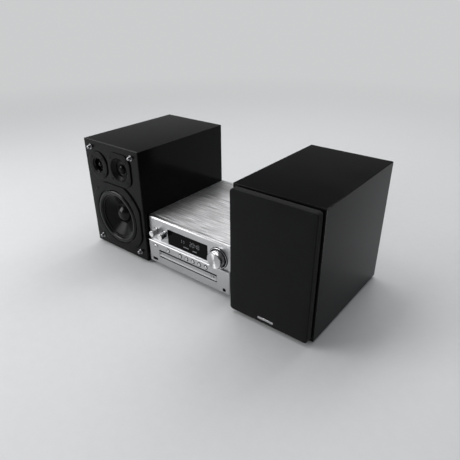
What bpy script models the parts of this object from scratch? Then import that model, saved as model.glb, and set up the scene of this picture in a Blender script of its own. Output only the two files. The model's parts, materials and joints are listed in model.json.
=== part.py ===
"""A mini hifi system: a main unit with a disc loader, and a pair of three-way speakers.

Metres, +Z up, front towards -Y. The origin lies on the floor, under the middle of the set's box.
The main unit and each speaker are modelled in their own frames: x from the unit's middle, y back
from its front (the fascia's upper plane, or the baffle), z from the floor.
"""

import math

import bmesh
import bpy

for old in list(bpy.data.objects):
    bpy.data.objects.remove(old, do_unlink=True)

# Clearances and cuts
SEAT_GAP = 0.0003
RUN_GAP = 0.0004
CUT_OVER = 0.002
JOIN = 0.0008

# How round shapes are divided
WOOFER_SIDES = 20
DRIVER_SIDES = 16
KNOB_SIDES = 16
SMALL_SIDES = 8
ROLL_FACETS = 6
CORNER_FACETS = 4
FLAT_ANGLE = math.radians(0.05)
SHARP_ANGLE = math.radians(32)

# How the three units stand beside each other
GAP_LEFT = 0.0016
GAP_RIGHT = 0.0162
LEFT_AHEAD = 0.0100
RIGHT_AHEAD = 0.0162

# Main unit: housing
UNIT_W = 0.211
UNIT_TOP = 0.1085
UNIT_D = 0.233
FOOT_H = 0.008
FOOT_R = 0.009
FOOT_INSET = 0.024
SHEET_T = 0.0012
TOP_T = 0.002
TOP_EDGE_R = 0.0015
SIDE_T = 0.0015
CHASSIS_LIP = 0.012
FASCIA_BOTTOM = 0.0095
FASCIA_WALL = 0.003
FASCIA_DEPTH = 0.0065
FASCIA_CORNER = 0.004
STEP_Z = 0.0574
STEP_PROUD = 0.005
STEP_ROLL = 0.003
TOP_ROLL = 0.0055

# Main unit: display
WINDOW_LEFT_INSET = 0.0535
WINDOW_RIGHT_INSET = 0.0555
WINDOW_TOP_INSET = 0.0159
WINDOW_ABOVE_STEP = 0.0029
WINDOW_T = 0.003
WINDOW_CORNER = 0.001

# Main unit: knobs
VOLUME_INSET = 0.0298
VOLUME_ABOVE_STEP = 0.0189
VOLUME_R = 0.0166
VOLUME_FACE_R = 0.0150
VOLUME_REACH = 0.0140
VOLUME_DISH = 0.0006
RING_R = 0.0206
RING_INNER_R = 0.0174
RING_PROUD = 0.0022
TONE_INSET = 0.0222
TONE_PITCH = 0.023
TONE_ABOVE_STEP = 0.0211
TONE_R = 0.0062
TONE_REACH = 0.0150
TONE_COLLAR_R = 0.0069
TONE_COLLAR_PROUD = 0.0006
SHAFT_R = 0.003

# Main unit: buttons and the front board behind them
BUTTON_Z = 0.048
BUTTON_R = 0.0033
BUTTON_PROUD = 0.0009
BUTTON_EDGE = 0.0005
BUTTON_TRAVEL = 0.001
BUTTON_LIP = 0.0010
BUTTON_LIP_T = 0.0010
STEM_R = 0.0018
ROW_X = 0.0163
ROW_PITCH = 0.0162
SOURCE_X = -0.0489
POWER_INSET = 0.0212
POWER_W = 0.011
POWER_H = 0.005
BOARD_Y = 0.014
BOARD_T = 0.0016
BOARD_MARGIN = 0.005
SWITCH_T = 0.0035
SWITCH_SIDE = 0.006
POT_SIDE = 0.0095

# Main unit: disc slot, tray and loader
SLOT_W = 0.150
SLOT_H = 0.0162
SLOT_Z = 0.0334
SLOT_CORNER = 0.0012
SLOT_GAP = 0.0005
SLOT_TOP_GAP = 0.0024
SLOT_END_GAP = 0.0012
OPEN_W = 0.0128
OPEN_GAP = 0.0008
TRAY_FRONT_T = 0.0028
TRAY_LIP_H = 0.005
TRAY_LIP_LEAN = 0.0009
DISC_R = 0.060
DISC_PLAY = 0.0006
TRAY_RIM = 0.0034
TRAY_FRONT_RIM = 0.008
TRAY_RISE = 0.0039
TRAY_T = 0.0065
TRAY_RECESS = 0.0035
TRAY_RUNNER = 0.038
TRAY_SLOT_W = 0.044
TRAY_SLOT_AHEAD = 0.021
TRAY_TRAVEL = 0.130
GEAR_MODULE = 0.0015
GEAR_TEETH = 12
GEAR_T = 0.003
GEAR_HUB_R = 0.004
GEAR_PIN_R = 0.0017
GEAR_Y = 0.022
RACK_INSET = 0.0085
RACK_BACK = 0.0028
TOOTH_SHARE = 0.40
TOOTH_SLOPE = 0.364
ADDENDUM = 0.8
DEDENDUM = 1.1
FRAME_DROP = 0.013
FRAME_FLOOR = 0.002
FRAME_WALL = 0.0025
FRAME_LEDGE = 0.003
FRAME_START = 0.009
FRAME_LEG = 0.010
CLAMP_W = 0.020
CLAMP_T = 0.002
CLAMP_R = 0.014
CLAMP_LIFT = 0.0035
TURNTABLE_R = 0.015
TURNTABLE_T = 0.0025
SPINDLE_R = 0.0073
SPINDLE_H = 0.0022
MOTOR_R = 0.012
MOTOR_H = 0.007
AXLE_R = 0.001
ROD_R = 0.0015
ROD_X = 0.019
ROD_LIFT = 0.005
ROD_BLOCK = 0.006
SLED_L = 0.026
SLED_H = 0.0088
SLED_START = 0.031
SLED_TRAVEL = 0.033
LENS_R = 0.004
LENS_H = 0.0024

# Main unit: boards, supply and rear
MAIN_BOARD_Z = 0.056
MAIN_BOARD_START = 0.032
MAIN_BOARD_END_GAP = 0.012
MAIN_BOARD_MARGIN = 0.004
STANDOFF_R = 0.003
STANDOFF_INSET = 0.006
CAPACITOR_R = 0.009
CAPACITOR_H = 0.030
CHIP_SIDE = 0.014
CHIP_T = 0.0022
SINK_W = 0.084
SINK_D = 0.022
SINK_H = 0.036
SINK_BASE = 0.004
SINK_FINS = 9
SINK_FIN_T = 0.0024
CORE_W = 0.050
CORE_D = 0.040
CORE_H = 0.038
COIL_OUT = 0.005
COIL_W = 0.032
TRANSFORMER_X = -0.027
TRANSFORMER_GAP = 0.0005
SOCKET_IN = 0.010
REAR_FLANGE_T = 0.0017
TERMINAL_REACH = 0.012
TERMINAL_INSET = 0.0475
TERMINAL_Z = 0.034
TERMINAL_W = 0.064
TERMINAL_H = 0.024
TERMINAL_PITCH = 0.016
POST_KNOB_R = 0.0052
JACKS_X = -0.002
JACKS_Z = 0.038
JACKS_W = 0.024
JACKS_H = 0.042
JACK_PITCH = 0.014
JACK_R = 0.0042
JACK_BORE_R = 0.0018
JACK_REACH = 0.009
INLET_INSET = 0.0315
INLET_Z = 0.032
INLET_W = 0.027
INLET_H = 0.018
INLET_MOUTH_W = 0.0155
INLET_MOUTH_H = 0.0085
INLET_MOUTH_D = 0.012
INLET_BODY_D = 0.016
VENT_W = 0.003
VENT_H = 0.020
VENT_PITCH = 0.008
VENT_COUNT = 7
VENT_Z = 0.082
USB_INSET = 0.0170
USB_Z = 0.0164
USB_W = 0.0132
USB_H = 0.0057
USB_D = 0.0135
USB_SHELL = 0.0005
USB_TONGUE_T = 0.0016
PHONES_INSET = 0.0135
PHONES_Z = 0.0158
PHONES_R = 0.0032
PHONES_BORE_R = 0.0018
PHONES_BODY = 0.0056
PHONES_D = 0.013

# Speakers: cabinet and baffle
SPEAKER_W = 0.161
SPEAKER_D = 0.245
SPEAKER_FOOT = 0.004
SPEAKER_FOOT_R = 0.007
SPEAKER_FOOT_INSET = 0.018
CABINET_WALL = 0.010
CABINET_EDGE = 0.0010
BAFFLE_T = 0.012
BAFFLE_LIP = 0.003
BAFFLE_CHAMFER = 0.0012
POST_INSET_X = 0.0195
POST_INSET_LOW = 0.017
POST_INSET_HIGH = 0.0145
POST_COLLAR_R = 0.0055
POST_COLLAR_T = 0.0015
POST_NECK_R = 0.0024
POST_HEAD_R = 0.0038
POST_REACH = 0.0080

# Speakers: woofer
WOOFER_RISE = 0.080
WOOFER_PLATE_R = 0.0775
WOOFER_HALF_W = 0.072
WOOFER_HALF_H = 0.0705
PLATE_T = 0.0025
PLATE_EDGE = 0.0008
WOOFER_OPEN_R = 0.061
WOOFER_NECK = 0.0018
NECK_D = 0.010
SEAT_W = 0.0036
SEAT_Y = 0.001
BASKET_D = 0.034
BASKET_END_R = 0.044
BASKET_WALL = 0.0025
BASKET_WINDOWS = 4
WINDOW_SHARE = 0.70
MAGNET_R = 0.040
MAGNET_T = 0.024
COIL_R = 0.0130
COIL_T = 0.0010
COIL_L = 0.021
COIL_GAP = 0.0008
CONE_R = 0.0472
CONE_EDGE_Y = 0.0018
CONE_DEPTH = 0.0148
CONE_T = 0.0012
CAP_R = 0.020
CAP_RISE = 0.0077
ROLL_FLANGE = 0.0024
ROLL_RISE = 0.0045
ROLL_T = 0.0011
ROLL_STEPS = 4
ROLL_LIP = 0.0012
CONE_STROKE = 0.004

# Speakers: tweeter and super tweeter
TWEETER_X = 0.025
TWEETER_GAP = 0.0045
TWEETER_TOP_MARGIN = 0.013
TWEETER_SIDE = 0.066
TWEETER_CORNER = 0.020
HORN_R = 0.0245
HORN_DEPTH = 0.0115
HORN_STEPS = 4
THROAT_R = 0.0105
TWEETER_BODY_R = 0.027
TWEETER_BODY_D = 0.030
DOME_R = 0.0095
DOME_RISE = 0.0055
DOME_RIM = 0.0015
SUPER_X = -0.0412
SUPER_DROP = 0.0035
SUPER_R = 0.0288
SUPER_MOUTH_R = 0.0165
SUPER_THROAT_R = 0.0125
SUPER_DEPTH = 0.009
SUPER_BODY_R = 0.0215
SUPER_BODY_D = 0.024
BULLET_R = 0.0070
BULLET_RISE = 0.0065

# Speakers: terminals and grille
CUP_W = 0.072
CUP_H = 0.052
CUP_RISE = 0.066
CUP_DISH_R = 0.021
CUP_DISH_D = 0.010
CUP_WALL = 0.002
CUP_POST_PITCH = 0.019
CUP_POST_L = 0.009
GRILLE_MARGIN_X = 0.0045
GRILLE_MARGIN_Z = 0.0038
GRILLE_PROUD = 0.014
GRILLE_STAND = 0.0034
GRILLE_CLOTH_T = 0.001
GRILLE_CORNER = 0.005
GRILLE_EDGE = 0.0025
GRILLE_RAIL = 0.0125
GRILLE_BAR_W = 0.008
GRILLE_BAR_T = 0.0035
SOCKET_WALL = 0.003

# Finishes: colour, roughness, metallic
ALUMINIUM = ((0.62, 0.62, 0.63), 0.32, 1.0)
SILVER = ((0.58, 0.58, 0.59), 0.38, 1.0)
CHROME = ((0.80, 0.80, 0.82), 0.10, 1.0)
STEEL = ((0.42, 0.43, 0.44), 0.45, 1.0)
SATIN_BLACK = ((0.012, 0.012, 0.013), 0.35, 0.0)
GLOSS_BLACK = ((0.006, 0.006, 0.007), 0.08, 0.0)
CHARCOAL = ((0.030, 0.030, 0.032), 0.45, 0.0)
CONE_BLACK = ((0.016, 0.016, 0.017), 0.30, 0.0)
RUBBER = ((0.020, 0.020, 0.020), 0.55, 0.0)
CLOTH = ((0.010, 0.010, 0.011), 0.95, 0.0)
BOARD_GREEN = ((0.020, 0.110, 0.050), 0.55, 0.0)
GREY_PLASTIC = ((0.10, 0.10, 0.105), 0.55, 0.0)
COPPER = ((0.55, 0.27, 0.12), 0.40, 1.0)
SMOKED = ((0.004, 0.004, 0.005), 0.06, 0.0)


def at(axis, u, v, level):
    """A point from two in-plane coordinates and a level along the axis X, Y or Z."""
    return {"X": (level, u, v), "Y": (u, level, v), "Z": (u, v, level)}[axis]


def circle(radius, centre=(0, 0), sides=SMALL_SIDES):
    """The points of a circle, anticlockwise."""
    turns = [2 * math.pi * (i + 0.5) / sides for i in range(sides)]
    return [(centre[0] + radius * math.cos(t), centre[1] + radius * math.sin(t)) for t in turns]


def rounded(width, height, radius, centre=(0, 0), steps=2):
    """A rectangle with round corners; a radius of half the height makes its ends half circles."""
    points = []
    for corner, (su, sv) in enumerate(((1, 1), (-1, 1), (-1, -1), (1, -1))):
        for step in range(steps + 1):
            turn = math.pi / 2 * (corner + step / steps)
            point = (
                centre[0] + su * (width / 2 - radius) + radius * math.cos(turn),
                centre[1] + sv * (height / 2 - radius) + radius * math.sin(turn),
            )
            if not points or math.dist(points[-1], point) > 1e-7:
                points.append(point)
    if math.dist(points[0], points[-1]) < 1e-7:
        points.pop()
    return points


def arc(centre, radius, start, end, steps):
    """Points on an arc between two angles in degrees."""
    turns = [math.radians(start + (end - start) * i / steps) for i in range(steps + 1)]
    return [(centre[0] + radius * math.cos(t), centre[1] + radius * math.sin(t)) for t in turns]


def finished(body):
    bmesh.ops.recalc_face_normals(body, faces=body.faces)
    return body


def loft(rings):
    """One closed body through rings with equal counts of points, with flat ends."""
    body = bmesh.new()
    made = [[body.verts.new(point) for point in ring] for ring in rings]
    for near, far in zip(made, made[1:]):
        for i in range(len(near)):
            j = (i + 1) % len(near)
            body.faces.new((near[i], near[j], far[j], far[i]))
    body.faces.new(reversed(made[0]))
    body.faces.new(made[-1])
    return finished(body)


def stack(axis, *levels):
    """A body through (level, outline) pairs along an axis."""
    return loft([[at(axis, u, v, level) for u, v in outline] for level, outline in levels])


def prism(axis, outline, start, end):
    return stack(axis, (start, outline), (end, outline))


def box(low, high):
    """A block between two corners."""
    centre = ((low[0] + high[0]) / 2, (low[1] + high[1]) / 2)
    return prism("Z", rounded_square(high[0] - low[0], high[1] - low[1], centre), low[2], high[2])


def rounded_square(width, depth, centre):
    """The four corners of a rectangle."""
    half_w, half_d = width / 2, depth / 2
    corners = ((-half_w, -half_d), (half_w, -half_d), (half_w, half_d), (-half_w, half_d))
    return [(centre[0] + u, centre[1] + v) for u, v in corners]


def turned(profile, axis="Y", centre=(0, 0), sides=KNOB_SIDES):
    """A closed (radius, level) profile turned about an axis through the centre."""
    body = bmesh.new()
    rings = []
    for radius, level in profile:
        if radius < 1e-9:
            rings.append([body.verts.new(at(axis, *centre, level))])
        else:
            rings.append([body.verts.new(at(axis, u, v, level)) for u, v in circle(radius, centre, sides)])
    for near, far in zip(rings, rings[1:] + rings[:1]):
        for i in range(sides):
            j = (i + 1) % sides
            if len(near) > 1 and len(far) > 1:
                body.faces.new((near[i], near[j], far[j], far[i]))
            elif len(near) > 1:
                body.faces.new((near[i], near[j], far[0]))
            elif len(far) > 1:
                body.faces.new((near[0], far[j], far[i]))
    return finished(body)


def rod(radius, axis, centre, start, end, sides=SMALL_SIDES):
    return prism(axis, circle(radius, centre, sides), start, end)


def boolean(operation, body, *tools):
    """The body after each tool is joined to it, cut from it or kept in common with it."""
    holder = helper_object(body)
    helpers = [helper_object(tool) for tool in tools]
    for helper in helpers:
        modifier = holder.modifiers.new(operation, "BOOLEAN")
        modifier.operation = operation
        modifier.solver = "EXACT"
        modifier.object = helper
    bpy.context.view_layer.update()
    shape = holder.evaluated_get(bpy.context.evaluated_depsgraph_get())
    result = bmesh.new()
    result.from_mesh(shape.to_mesh())
    shape.to_mesh_clear()
    for helper in (holder, *helpers):
        bpy.data.objects.remove(helper, do_unlink=True)
    return result


def helper_object(body):
    mesh = bpy.data.meshes.new("helper")
    body.to_mesh(mesh)
    body.free()
    helper = bpy.data.objects.new("helper", mesh)
    helper.hide_render = True
    helper.display_type = "WIRE"
    bpy.context.scene.collection.objects.link(helper)
    return helper


def join(body, *tools):
    return boolean("UNION", body, *tools)


def cut(body, *tools):
    return boolean("DIFFERENCE", body, *tools)


def common(body, *tools):
    return boolean("INTERSECT", body, *tools)


def place(name, x, y):
    """An empty that carries one of the three units."""
    empty = bpy.data.objects.new(name, None)
    empty.location = (x, y, 0)
    empty.empty_display_size = 0.03
    bpy.context.scene.collection.objects.link(empty)
    return empty


def part(name, body, unit, finish, pivot=(0, 0, 0)):
    """A named sub-part under its unit, with its origin at the pivot and its own material."""
    bmesh.ops.dissolve_limit(body, angle_limit=FLAT_ANGLE, verts=body.verts, edges=body.edges)
    finished(body)
    bmesh.ops.translate(body, verts=body.verts, vec=[-p for p in pivot])
    mesh = bpy.data.meshes.new(name)
    body.to_mesh(mesh)
    body.free()
    mesh.shade_smooth()
    mesh.set_sharp_from_angle(angle=SHARP_ANGLE)
    colour, roughness, metallic = finish
    material = bpy.data.materials.new(name)
    material.use_nodes = True
    shader = material.node_tree.nodes["Principled BSDF"]
    shader.inputs["Base Color"].default_value = (*colour, 1)
    shader.inputs["Roughness"].default_value = roughness
    shader.inputs["Metallic"].default_value = metallic
    mesh.materials.append(material)
    made = bpy.data.objects.new(name, mesh)
    made.parent = unit
    made.location = pivot
    bpy.context.scene.collection.objects.link(made)
    return made


# Where the units stand: the origin is under the middle of the whole set's box
SET_W = 2 * SPEAKER_W + GAP_LEFT + UNIT_W + GAP_RIGHT
SET_FRONT = -max(RIGHT_AHEAD + GRILLE_PROUD, LEFT_AHEAD + POST_REACH)
SET_BACK = max(UNIT_D + TERMINAL_REACH, SPEAKER_D - LEFT_AHEAD, SPEAKER_D - RIGHT_AHEAD)
ORIGIN_Y = (SET_FRONT + SET_BACK) / 2
LEFT_X = -SET_W / 2 + SPEAKER_W / 2
RIGHT_X = SET_W / 2 - SPEAKER_W / 2
UNIT_X = -SET_W / 2 + SPEAKER_W + GAP_LEFT + UNIT_W / 2

# Main unit: levels and faces that several pieces share
LOW_FRONT = -STEP_PROUD
LOW_INSIDE = LOW_FRONT + FASCIA_WALL
HOUSING_START = FASCIA_DEPTH + SEAT_GAP
WINDOW_W = UNIT_W - WINDOW_LEFT_INSET - WINDOW_RIGHT_INSET
WINDOW_X = (WINDOW_LEFT_INSET - WINDOW_RIGHT_INSET) / 2
WINDOW_H = UNIT_TOP - WINDOW_TOP_INSET - STEP_Z - WINDOW_ABOVE_STEP
WINDOW_Z = STEP_Z + WINDOW_ABOVE_STEP + WINDOW_H / 2
VOLUME_X = UNIT_W / 2 - VOLUME_INSET
VOLUME_Z = STEP_Z + VOLUME_ABOVE_STEP
TONE_X = -UNIT_W / 2 + TONE_INSET + TONE_PITCH / 2
TONE_Z = STEP_Z + TONE_ABOVE_STEP
POWER_X = -UNIT_W / 2 + POWER_INSET
USB_X = -UNIT_W / 2 + USB_INSET
PHONES_X = UNIT_W / 2 - PHONES_INSET
TERMINAL_X = UNIT_W / 2 - TERMINAL_INSET
INLET_X = -UNIT_W / 2 + INLET_INSET
INNER_X = UNIT_W / 2 - SIDE_T - SEAT_GAP
FLOOR_TOP = FOOT_H + SHEET_T
REAR_INSIDE = UNIT_D - SHEET_T
BOARD_BACK = BOARD_Y + BOARD_T
POT_FRONT = BOARD_Y - SWITCH_T - 0.0035
SHAFT_END = POT_FRONT - SEAT_GAP
STEM_END = BOARD_Y - SWITCH_T - BUTTON_TRAVEL - SEAT_GAP
SLOT_LEFT = -SLOT_W / 2
TRAY_FRONT_W = SLOT_W - SLOT_GAP - OPEN_GAP - OPEN_W - SLOT_END_GAP
TRAY_X = SLOT_LEFT + SLOT_GAP + TRAY_FRONT_W / 2
OPEN_X = SLOT_W / 2 - SLOT_END_GAP - OPEN_W / 2
FRONT_LOW = SLOT_Z - SLOT_H / 2 + SLOT_GAP
FRONT_HIGH = SLOT_Z + SLOT_H / 2 - SLOT_TOP_GAP
OPEN_Z = (FRONT_LOW + FRONT_HIGH) / 2
TRAY_W = 2 * (DISC_R + DISC_PLAY + TRAY_RIM)
TRAY_START = LOW_FRONT + TRAY_FRONT_T + SEAT_GAP
DISC_Y = TRAY_START + TRAY_FRONT_RIM + DISC_R + DISC_PLAY
TRAY_END = DISC_Y + DISC_R + TRAY_RUNNER
TRAY_BOTTOM = FRONT_LOW + TRAY_RISE
TRAY_TOP = TRAY_BOTTOM + TRAY_T
DISC_Z = TRAY_TOP - TRAY_RECESS
FRAME_BOTTOM = TRAY_BOTTOM - FRAME_DROP
FRAME_TOP = FRAME_BOTTOM + FRAME_FLOOR
FRAME_END = TRAY_END + FRAME_WALL + RUN_GAP
FRAME_IN = TRAY_W / 2 + RUN_GAP
WALL_TOP = TRAY_TOP + CLAMP_LIFT
GEAR_R = GEAR_MODULE * GEAR_TEETH / 2
GEAR_TOP = TRAY_BOTTOM - RUN_GAP
RACK_X = TRAY_X + TRAY_W / 2 - RACK_INSET
GEAR_X = RACK_X - GEAR_R
ROD_Z = FRAME_TOP + ROD_LIFT
SLED_Y = DISC_Y + SLED_START
SLED_HALF_W = ROD_X + ROD_R + 0.003
BUTTON_XS = {
    "stop_button": ROW_X - 2 * ROW_PITCH,
    "play_button": ROW_X - ROW_PITCH,
    "skip_back_button": ROW_X,
    "skip_forward_button": ROW_X + ROW_PITCH,
    "memory_button": ROW_X + 2 * ROW_PITCH,
}


def build_housing(unit):
    """Bottom chassis, side, top and rear panels, and the feet."""
    floor = box((-INNER_X, HOUSING_START, FOOT_H), (INNER_X, REAR_INSIDE - SEAT_GAP, FLOOR_TOP))
    lips = [
        box((low, HOUSING_START, FOOT_H), (low + SHEET_T, REAR_INSIDE - SEAT_GAP, FOOT_H + CHASSIS_LIP))
        for low in (-INNER_X, INNER_X - SHEET_T)
    ]
    standoffs = [
        rod(STANDOFF_R, "Z", (side * standoff_x(), y), FLOOR_TOP - JOIN, MAIN_BOARD_Z - SEAT_GAP)
        for side in (-1, 1)
        for y in standoff_ys()
    ]
    slots = [
        box(
            (x - VENT_H / 2, y - VENT_W / 2, FOOT_H - CUT_OVER),
            (x + VENT_H / 2, y + VENT_W / 2, FLOOR_TOP + CUT_OVER),
        )
        for x in (-2 * VENT_H, 2 * VENT_H)
        for y in (UNIT_D / 2 - VENT_PITCH, UNIT_D / 2, UNIT_D / 2 + VENT_PITCH)
    ]
    part("bottom_chassis", cut(join(floor, *lips, *standoffs), *slots), unit, STEEL)

    panel_top = UNIT_TOP - TOP_T - SEAT_GAP
    for name, side in (("side_panel_left", -1), ("side_panel_right", 1)):
        ends = sorted((side * UNIT_W / 2, side * (UNIT_W / 2 - SIDE_T)))
        part(
            name,
            box((ends[0], HOUSING_START, FASCIA_BOTTOM), (ends[1], UNIT_D, panel_top)),
            unit,
            SILVER,
        )

    half = UNIT_W / 2
    corner_z = UNIT_TOP - TOP_EDGE_R
    section = (
        [(-half, UNIT_TOP - TOP_T), (half, UNIT_TOP - TOP_T)]
        + arc((half - TOP_EDGE_R, corner_z), TOP_EDGE_R, 0, 90, 3)
        + arc((-half + TOP_EDGE_R, corner_z), TOP_EDGE_R, 90, 180, 3)
    )
    part("top_panel", prism("Y", section, HOUSING_START, UNIT_D), unit, ALUMINIUM)

    rear = box((-INNER_X, REAR_INSIDE, FLOOR_TOP - SHEET_T), (INNER_X, UNIT_D, panel_top))
    start = REAR_INSIDE - CUT_OVER
    end = UNIT_D + CUT_OVER
    holes = [
        rear_hole(TERMINAL_X, TERMINAL_Z, TERMINAL_W, TERMINAL_H, start, end),
        rear_hole(JACKS_X, JACKS_Z, JACKS_W, JACKS_H, start, end),
        rear_hole(INLET_X, INLET_Z, INLET_W, INLET_H, start, end),
    ]
    vents = [
        prism("Y", rounded(VENT_W, VENT_H, VENT_W / 2, (x, VENT_Z)), start, end) for x in vent_xs()
    ]
    part("rear_panel", cut(rear, *holes, *vents), unit, STEEL)

    profile = [
        (0, 0),
        (FOOT_R - 0.001, 0),
        (FOOT_R, 0.001),
        (FOOT_R, FOOT_H - SEAT_GAP),
        (0, FOOT_H - SEAT_GAP),
    ]
    for front, y in (("front", HOUSING_START + FOOT_INSET), ("rear", UNIT_D - FOOT_INSET)):
        for hand, side in (("left", -1), ("right", 1)):
            spot = (side * (UNIT_W / 2 - FOOT_INSET), y)
            part(f"foot_{front}_{hand}", turned(profile, "Z", spot, SMALL_SIDES), unit, RUBBER)


def rear_hole(x, z, width, height, start, end):
    """The cut in the rear panel for a socket body that is seated in it."""
    return prism("Y", rounded_square(width + 2 * SEAT_GAP, height + 2 * SEAT_GAP, (x, z)), start, end)


def vent_xs():
    return [(i - (VENT_COUNT - 1) / 2) * VENT_PITCH for i in range(VENT_COUNT)]


def standoff_x():
    return INNER_X - SHEET_T - MAIN_BOARD_MARGIN - STANDOFF_INSET + 0.001


def standoff_ys():
    return (MAIN_BOARD_START + STANDOFF_INSET, REAR_INSIDE - MAIN_BOARD_END_GAP - STANDOFF_INSET)


def fascia_block(front, low, high, roll):
    """One half of the fascia: a rolled top edge seen from the side, round corners seen from above."""
    side = [(FASCIA_DEPTH, low), (front, low)] + arc((front + roll, high - roll), roll, 180, 90, ROLL_FACETS)
    side.append((FASCIA_DEPTH, high))
    half = UNIT_W / 2
    plan = (
        arc((half - FASCIA_CORNER, front + FASCIA_CORNER), FASCIA_CORNER, -90, 0, CORNER_FACETS)
        + [(half, FASCIA_DEPTH + CUT_OVER), (-half, FASCIA_DEPTH + CUT_OVER)]
        + arc((-half + FASCIA_CORNER, front + FASCIA_CORNER), FASCIA_CORNER, 180, 270, CORNER_FACETS)
    )
    lengthwise = prism("X", side, -half - CUT_OVER, half + CUT_OVER)
    return common(lengthwise, prism("Z", plan, low - CUT_OVER, high + CUT_OVER))


def build_front_panel(unit):
    """The stepped fascia, hollow behind, with every hole that a control or socket passes through."""
    upper = fascia_block(0, STEP_Z - STEP_ROLL - FASCIA_WALL, UNIT_TOP, TOP_ROLL)
    lower = fascia_block(LOW_FRONT, FASCIA_BOTTOM, STEP_Z, STEP_ROLL)
    inside = UNIT_W / 2 - FASCIA_WALL
    back = FASCIA_DEPTH + CUT_OVER
    hollows = [
        box((-inside, LOW_INSIDE, FASCIA_BOTTOM + FASCIA_WALL), (inside, back, STEP_Z - FASCIA_WALL)),
        box((-inside, FASCIA_WALL, STEP_Z - FASCIA_WALL - JOIN), (inside, back, UNIT_TOP - FASCIA_WALL)),
    ]
    shell = cut(join(upper, lower), *hollows)
    bosses = [
        rod(STANDOFF_R, "Y", spot, FASCIA_WALL - JOIN, BOARD_Y - SEAT_GAP) for spot in board_bosses()
    ]
    collars = [
        turned(
            [
                (SHAFT_R + RUN_GAP, -TONE_COLLAR_PROUD),
                (TONE_COLLAR_R, -TONE_COLLAR_PROUD),
                (TONE_COLLAR_R, JOIN),
                (SHAFT_R + RUN_GAP, JOIN),
            ],
            "Y",
            (x, TONE_Z),
        )
        for x in tone_xs()
    ]
    shell = join(shell, *bosses, *collars)

    high = (-CUT_OVER, FASCIA_WALL + CUT_OVER)
    low = (LOW_FRONT - CUT_OVER, LOW_INSIDE + CUT_OVER)
    window = rounded(WINDOW_W + 2 * SEAT_GAP, WINDOW_H + 2 * SEAT_GAP, WINDOW_CORNER, (WINDOW_X, WINDOW_Z))
    holes = [
        prism("Y", window, *high),
        rod(RING_R + SEAT_GAP, "Y", (VOLUME_X, VOLUME_Z), low[0], high[1], DRIVER_SIDES),
        prism("Y", rounded(SLOT_W, SLOT_H, SLOT_CORNER, (0, SLOT_Z)), *low),
        prism("Y", power_outline(RUN_GAP), *low),
        prism("Y", rounded_square(USB_W + 2 * SEAT_GAP, USB_H + 2 * SEAT_GAP, (USB_X, USB_Z)), *low),
        rod(PHONES_R + SEAT_GAP, "Y", (PHONES_X, PHONES_Z), *low),
    ]
    holes += [rod(SHAFT_R + RUN_GAP, "Y", (x, TONE_Z), *high, KNOB_SIDES) for x in tone_xs()]
    holes += [
        rod(BUTTON_R + RUN_GAP, "Y", (x, BUTTON_Z), *low) for x in (SOURCE_X, *BUTTON_XS.values())
    ]
    part("front_panel", cut(shell, *holes), unit, SILVER)


def tone_xs():
    return (TONE_X - TONE_PITCH / 2, TONE_X + TONE_PITCH / 2)


def power_outline(grow):
    """The oblong of the power button, widened all round."""
    return rounded(POWER_W + 2 * grow, POWER_H + 2 * grow, POWER_H / 2 + grow, (POWER_X, BUTTON_Z))


def board_bosses():
    """The four points where the front board is screwed to the fascia."""
    x = UNIT_W / 2 - FASCIA_WALL - BOARD_MARGIN - STANDOFF_R
    low = STEP_Z + STANDOFF_R
    high = UNIT_TOP - FASCIA_WALL - BOARD_MARGIN - STANDOFF_R
    return [(side * x, z) for side in (-1, 1) for z in (low, high)]


def build_display(unit):
    """The glossy window, and the display module between it and the front board."""
    outline = rounded(WINDOW_W, WINDOW_H, WINDOW_CORNER, (WINDOW_X, WINDOW_Z))
    part("display_window", prism("Y", outline, 0, WINDOW_T), unit, SMOKED)
    edge = 0.002
    glass = rounded(WINDOW_W - 2 * edge, WINDOW_H - edge, edge, (WINDOW_X, WINDOW_Z))
    body = rounded(WINDOW_W - 4 * edge, WINDOW_H - 2 * edge, edge, (WINDOW_X, WINDOW_Z))
    module = stack(
        "Y",
        (WINDOW_T + SEAT_GAP, glass),
        (WINDOW_T + SEAT_GAP + edge, glass),
        (WINDOW_T + SEAT_GAP + edge, body),
        (BOARD_Y - SEAT_GAP, body),
    )
    part("display_module", module, unit, SMOKED)


def build_knobs(unit):
    """The volume knob in its ring, and the two tone knobs, each with the shaft it is pressed on."""
    spot = (VOLUME_X, VOLUME_Z)
    ring = [
        (RING_INNER_R, -RING_PROUD * 0.4),
        (RING_R - 0.0014, -RING_PROUD),
        (RING_R, -RING_PROUD * 0.7),
        (RING_R, FASCIA_WALL),
        (RING_INNER_R, FASCIA_WALL),
    ]
    part("volume_ring", turned(ring, "Y", spot, DRIVER_SIDES), unit, CHROME)
    knob = [
        (0, -VOLUME_REACH + VOLUME_DISH),
        (VOLUME_FACE_R - 0.0008, -VOLUME_REACH + VOLUME_DISH * 0.3),
        (VOLUME_FACE_R, -VOLUME_REACH),
        (VOLUME_R - 0.0005, -VOLUME_REACH + 0.0013),
        (VOLUME_R, FASCIA_WALL * 0.5),
        (SHAFT_R * 2, FASCIA_WALL * 0.5),
        (SHAFT_R * 2, FASCIA_WALL),
        (SHAFT_R, FASCIA_WALL),
        (SHAFT_R, SHAFT_END),
        (0, SHAFT_END),
    ]
    pivot = (VOLUME_X, 0, VOLUME_Z)
    part("volume_knob", turned(knob, "Y", spot, DRIVER_SIDES), unit, ALUMINIUM, pivot)
    back = -TONE_COLLAR_PROUD - RUN_GAP
    knob = [
        (0, -TONE_REACH),
        (TONE_R - 0.0007, -TONE_REACH),
        (TONE_R, -TONE_REACH + 0.0007),
        (TONE_R, back),
        (SHAFT_R, back),
        (SHAFT_R, SHAFT_END),
        (0, SHAFT_END),
    ]
    for name, x in zip(("bass_knob", "treble_knob"), tone_xs()):
        part(name, turned(knob, "Y", (x, TONE_Z), KNOB_SIDES), unit, ALUMINIUM, (x, 0, TONE_Z))


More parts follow.
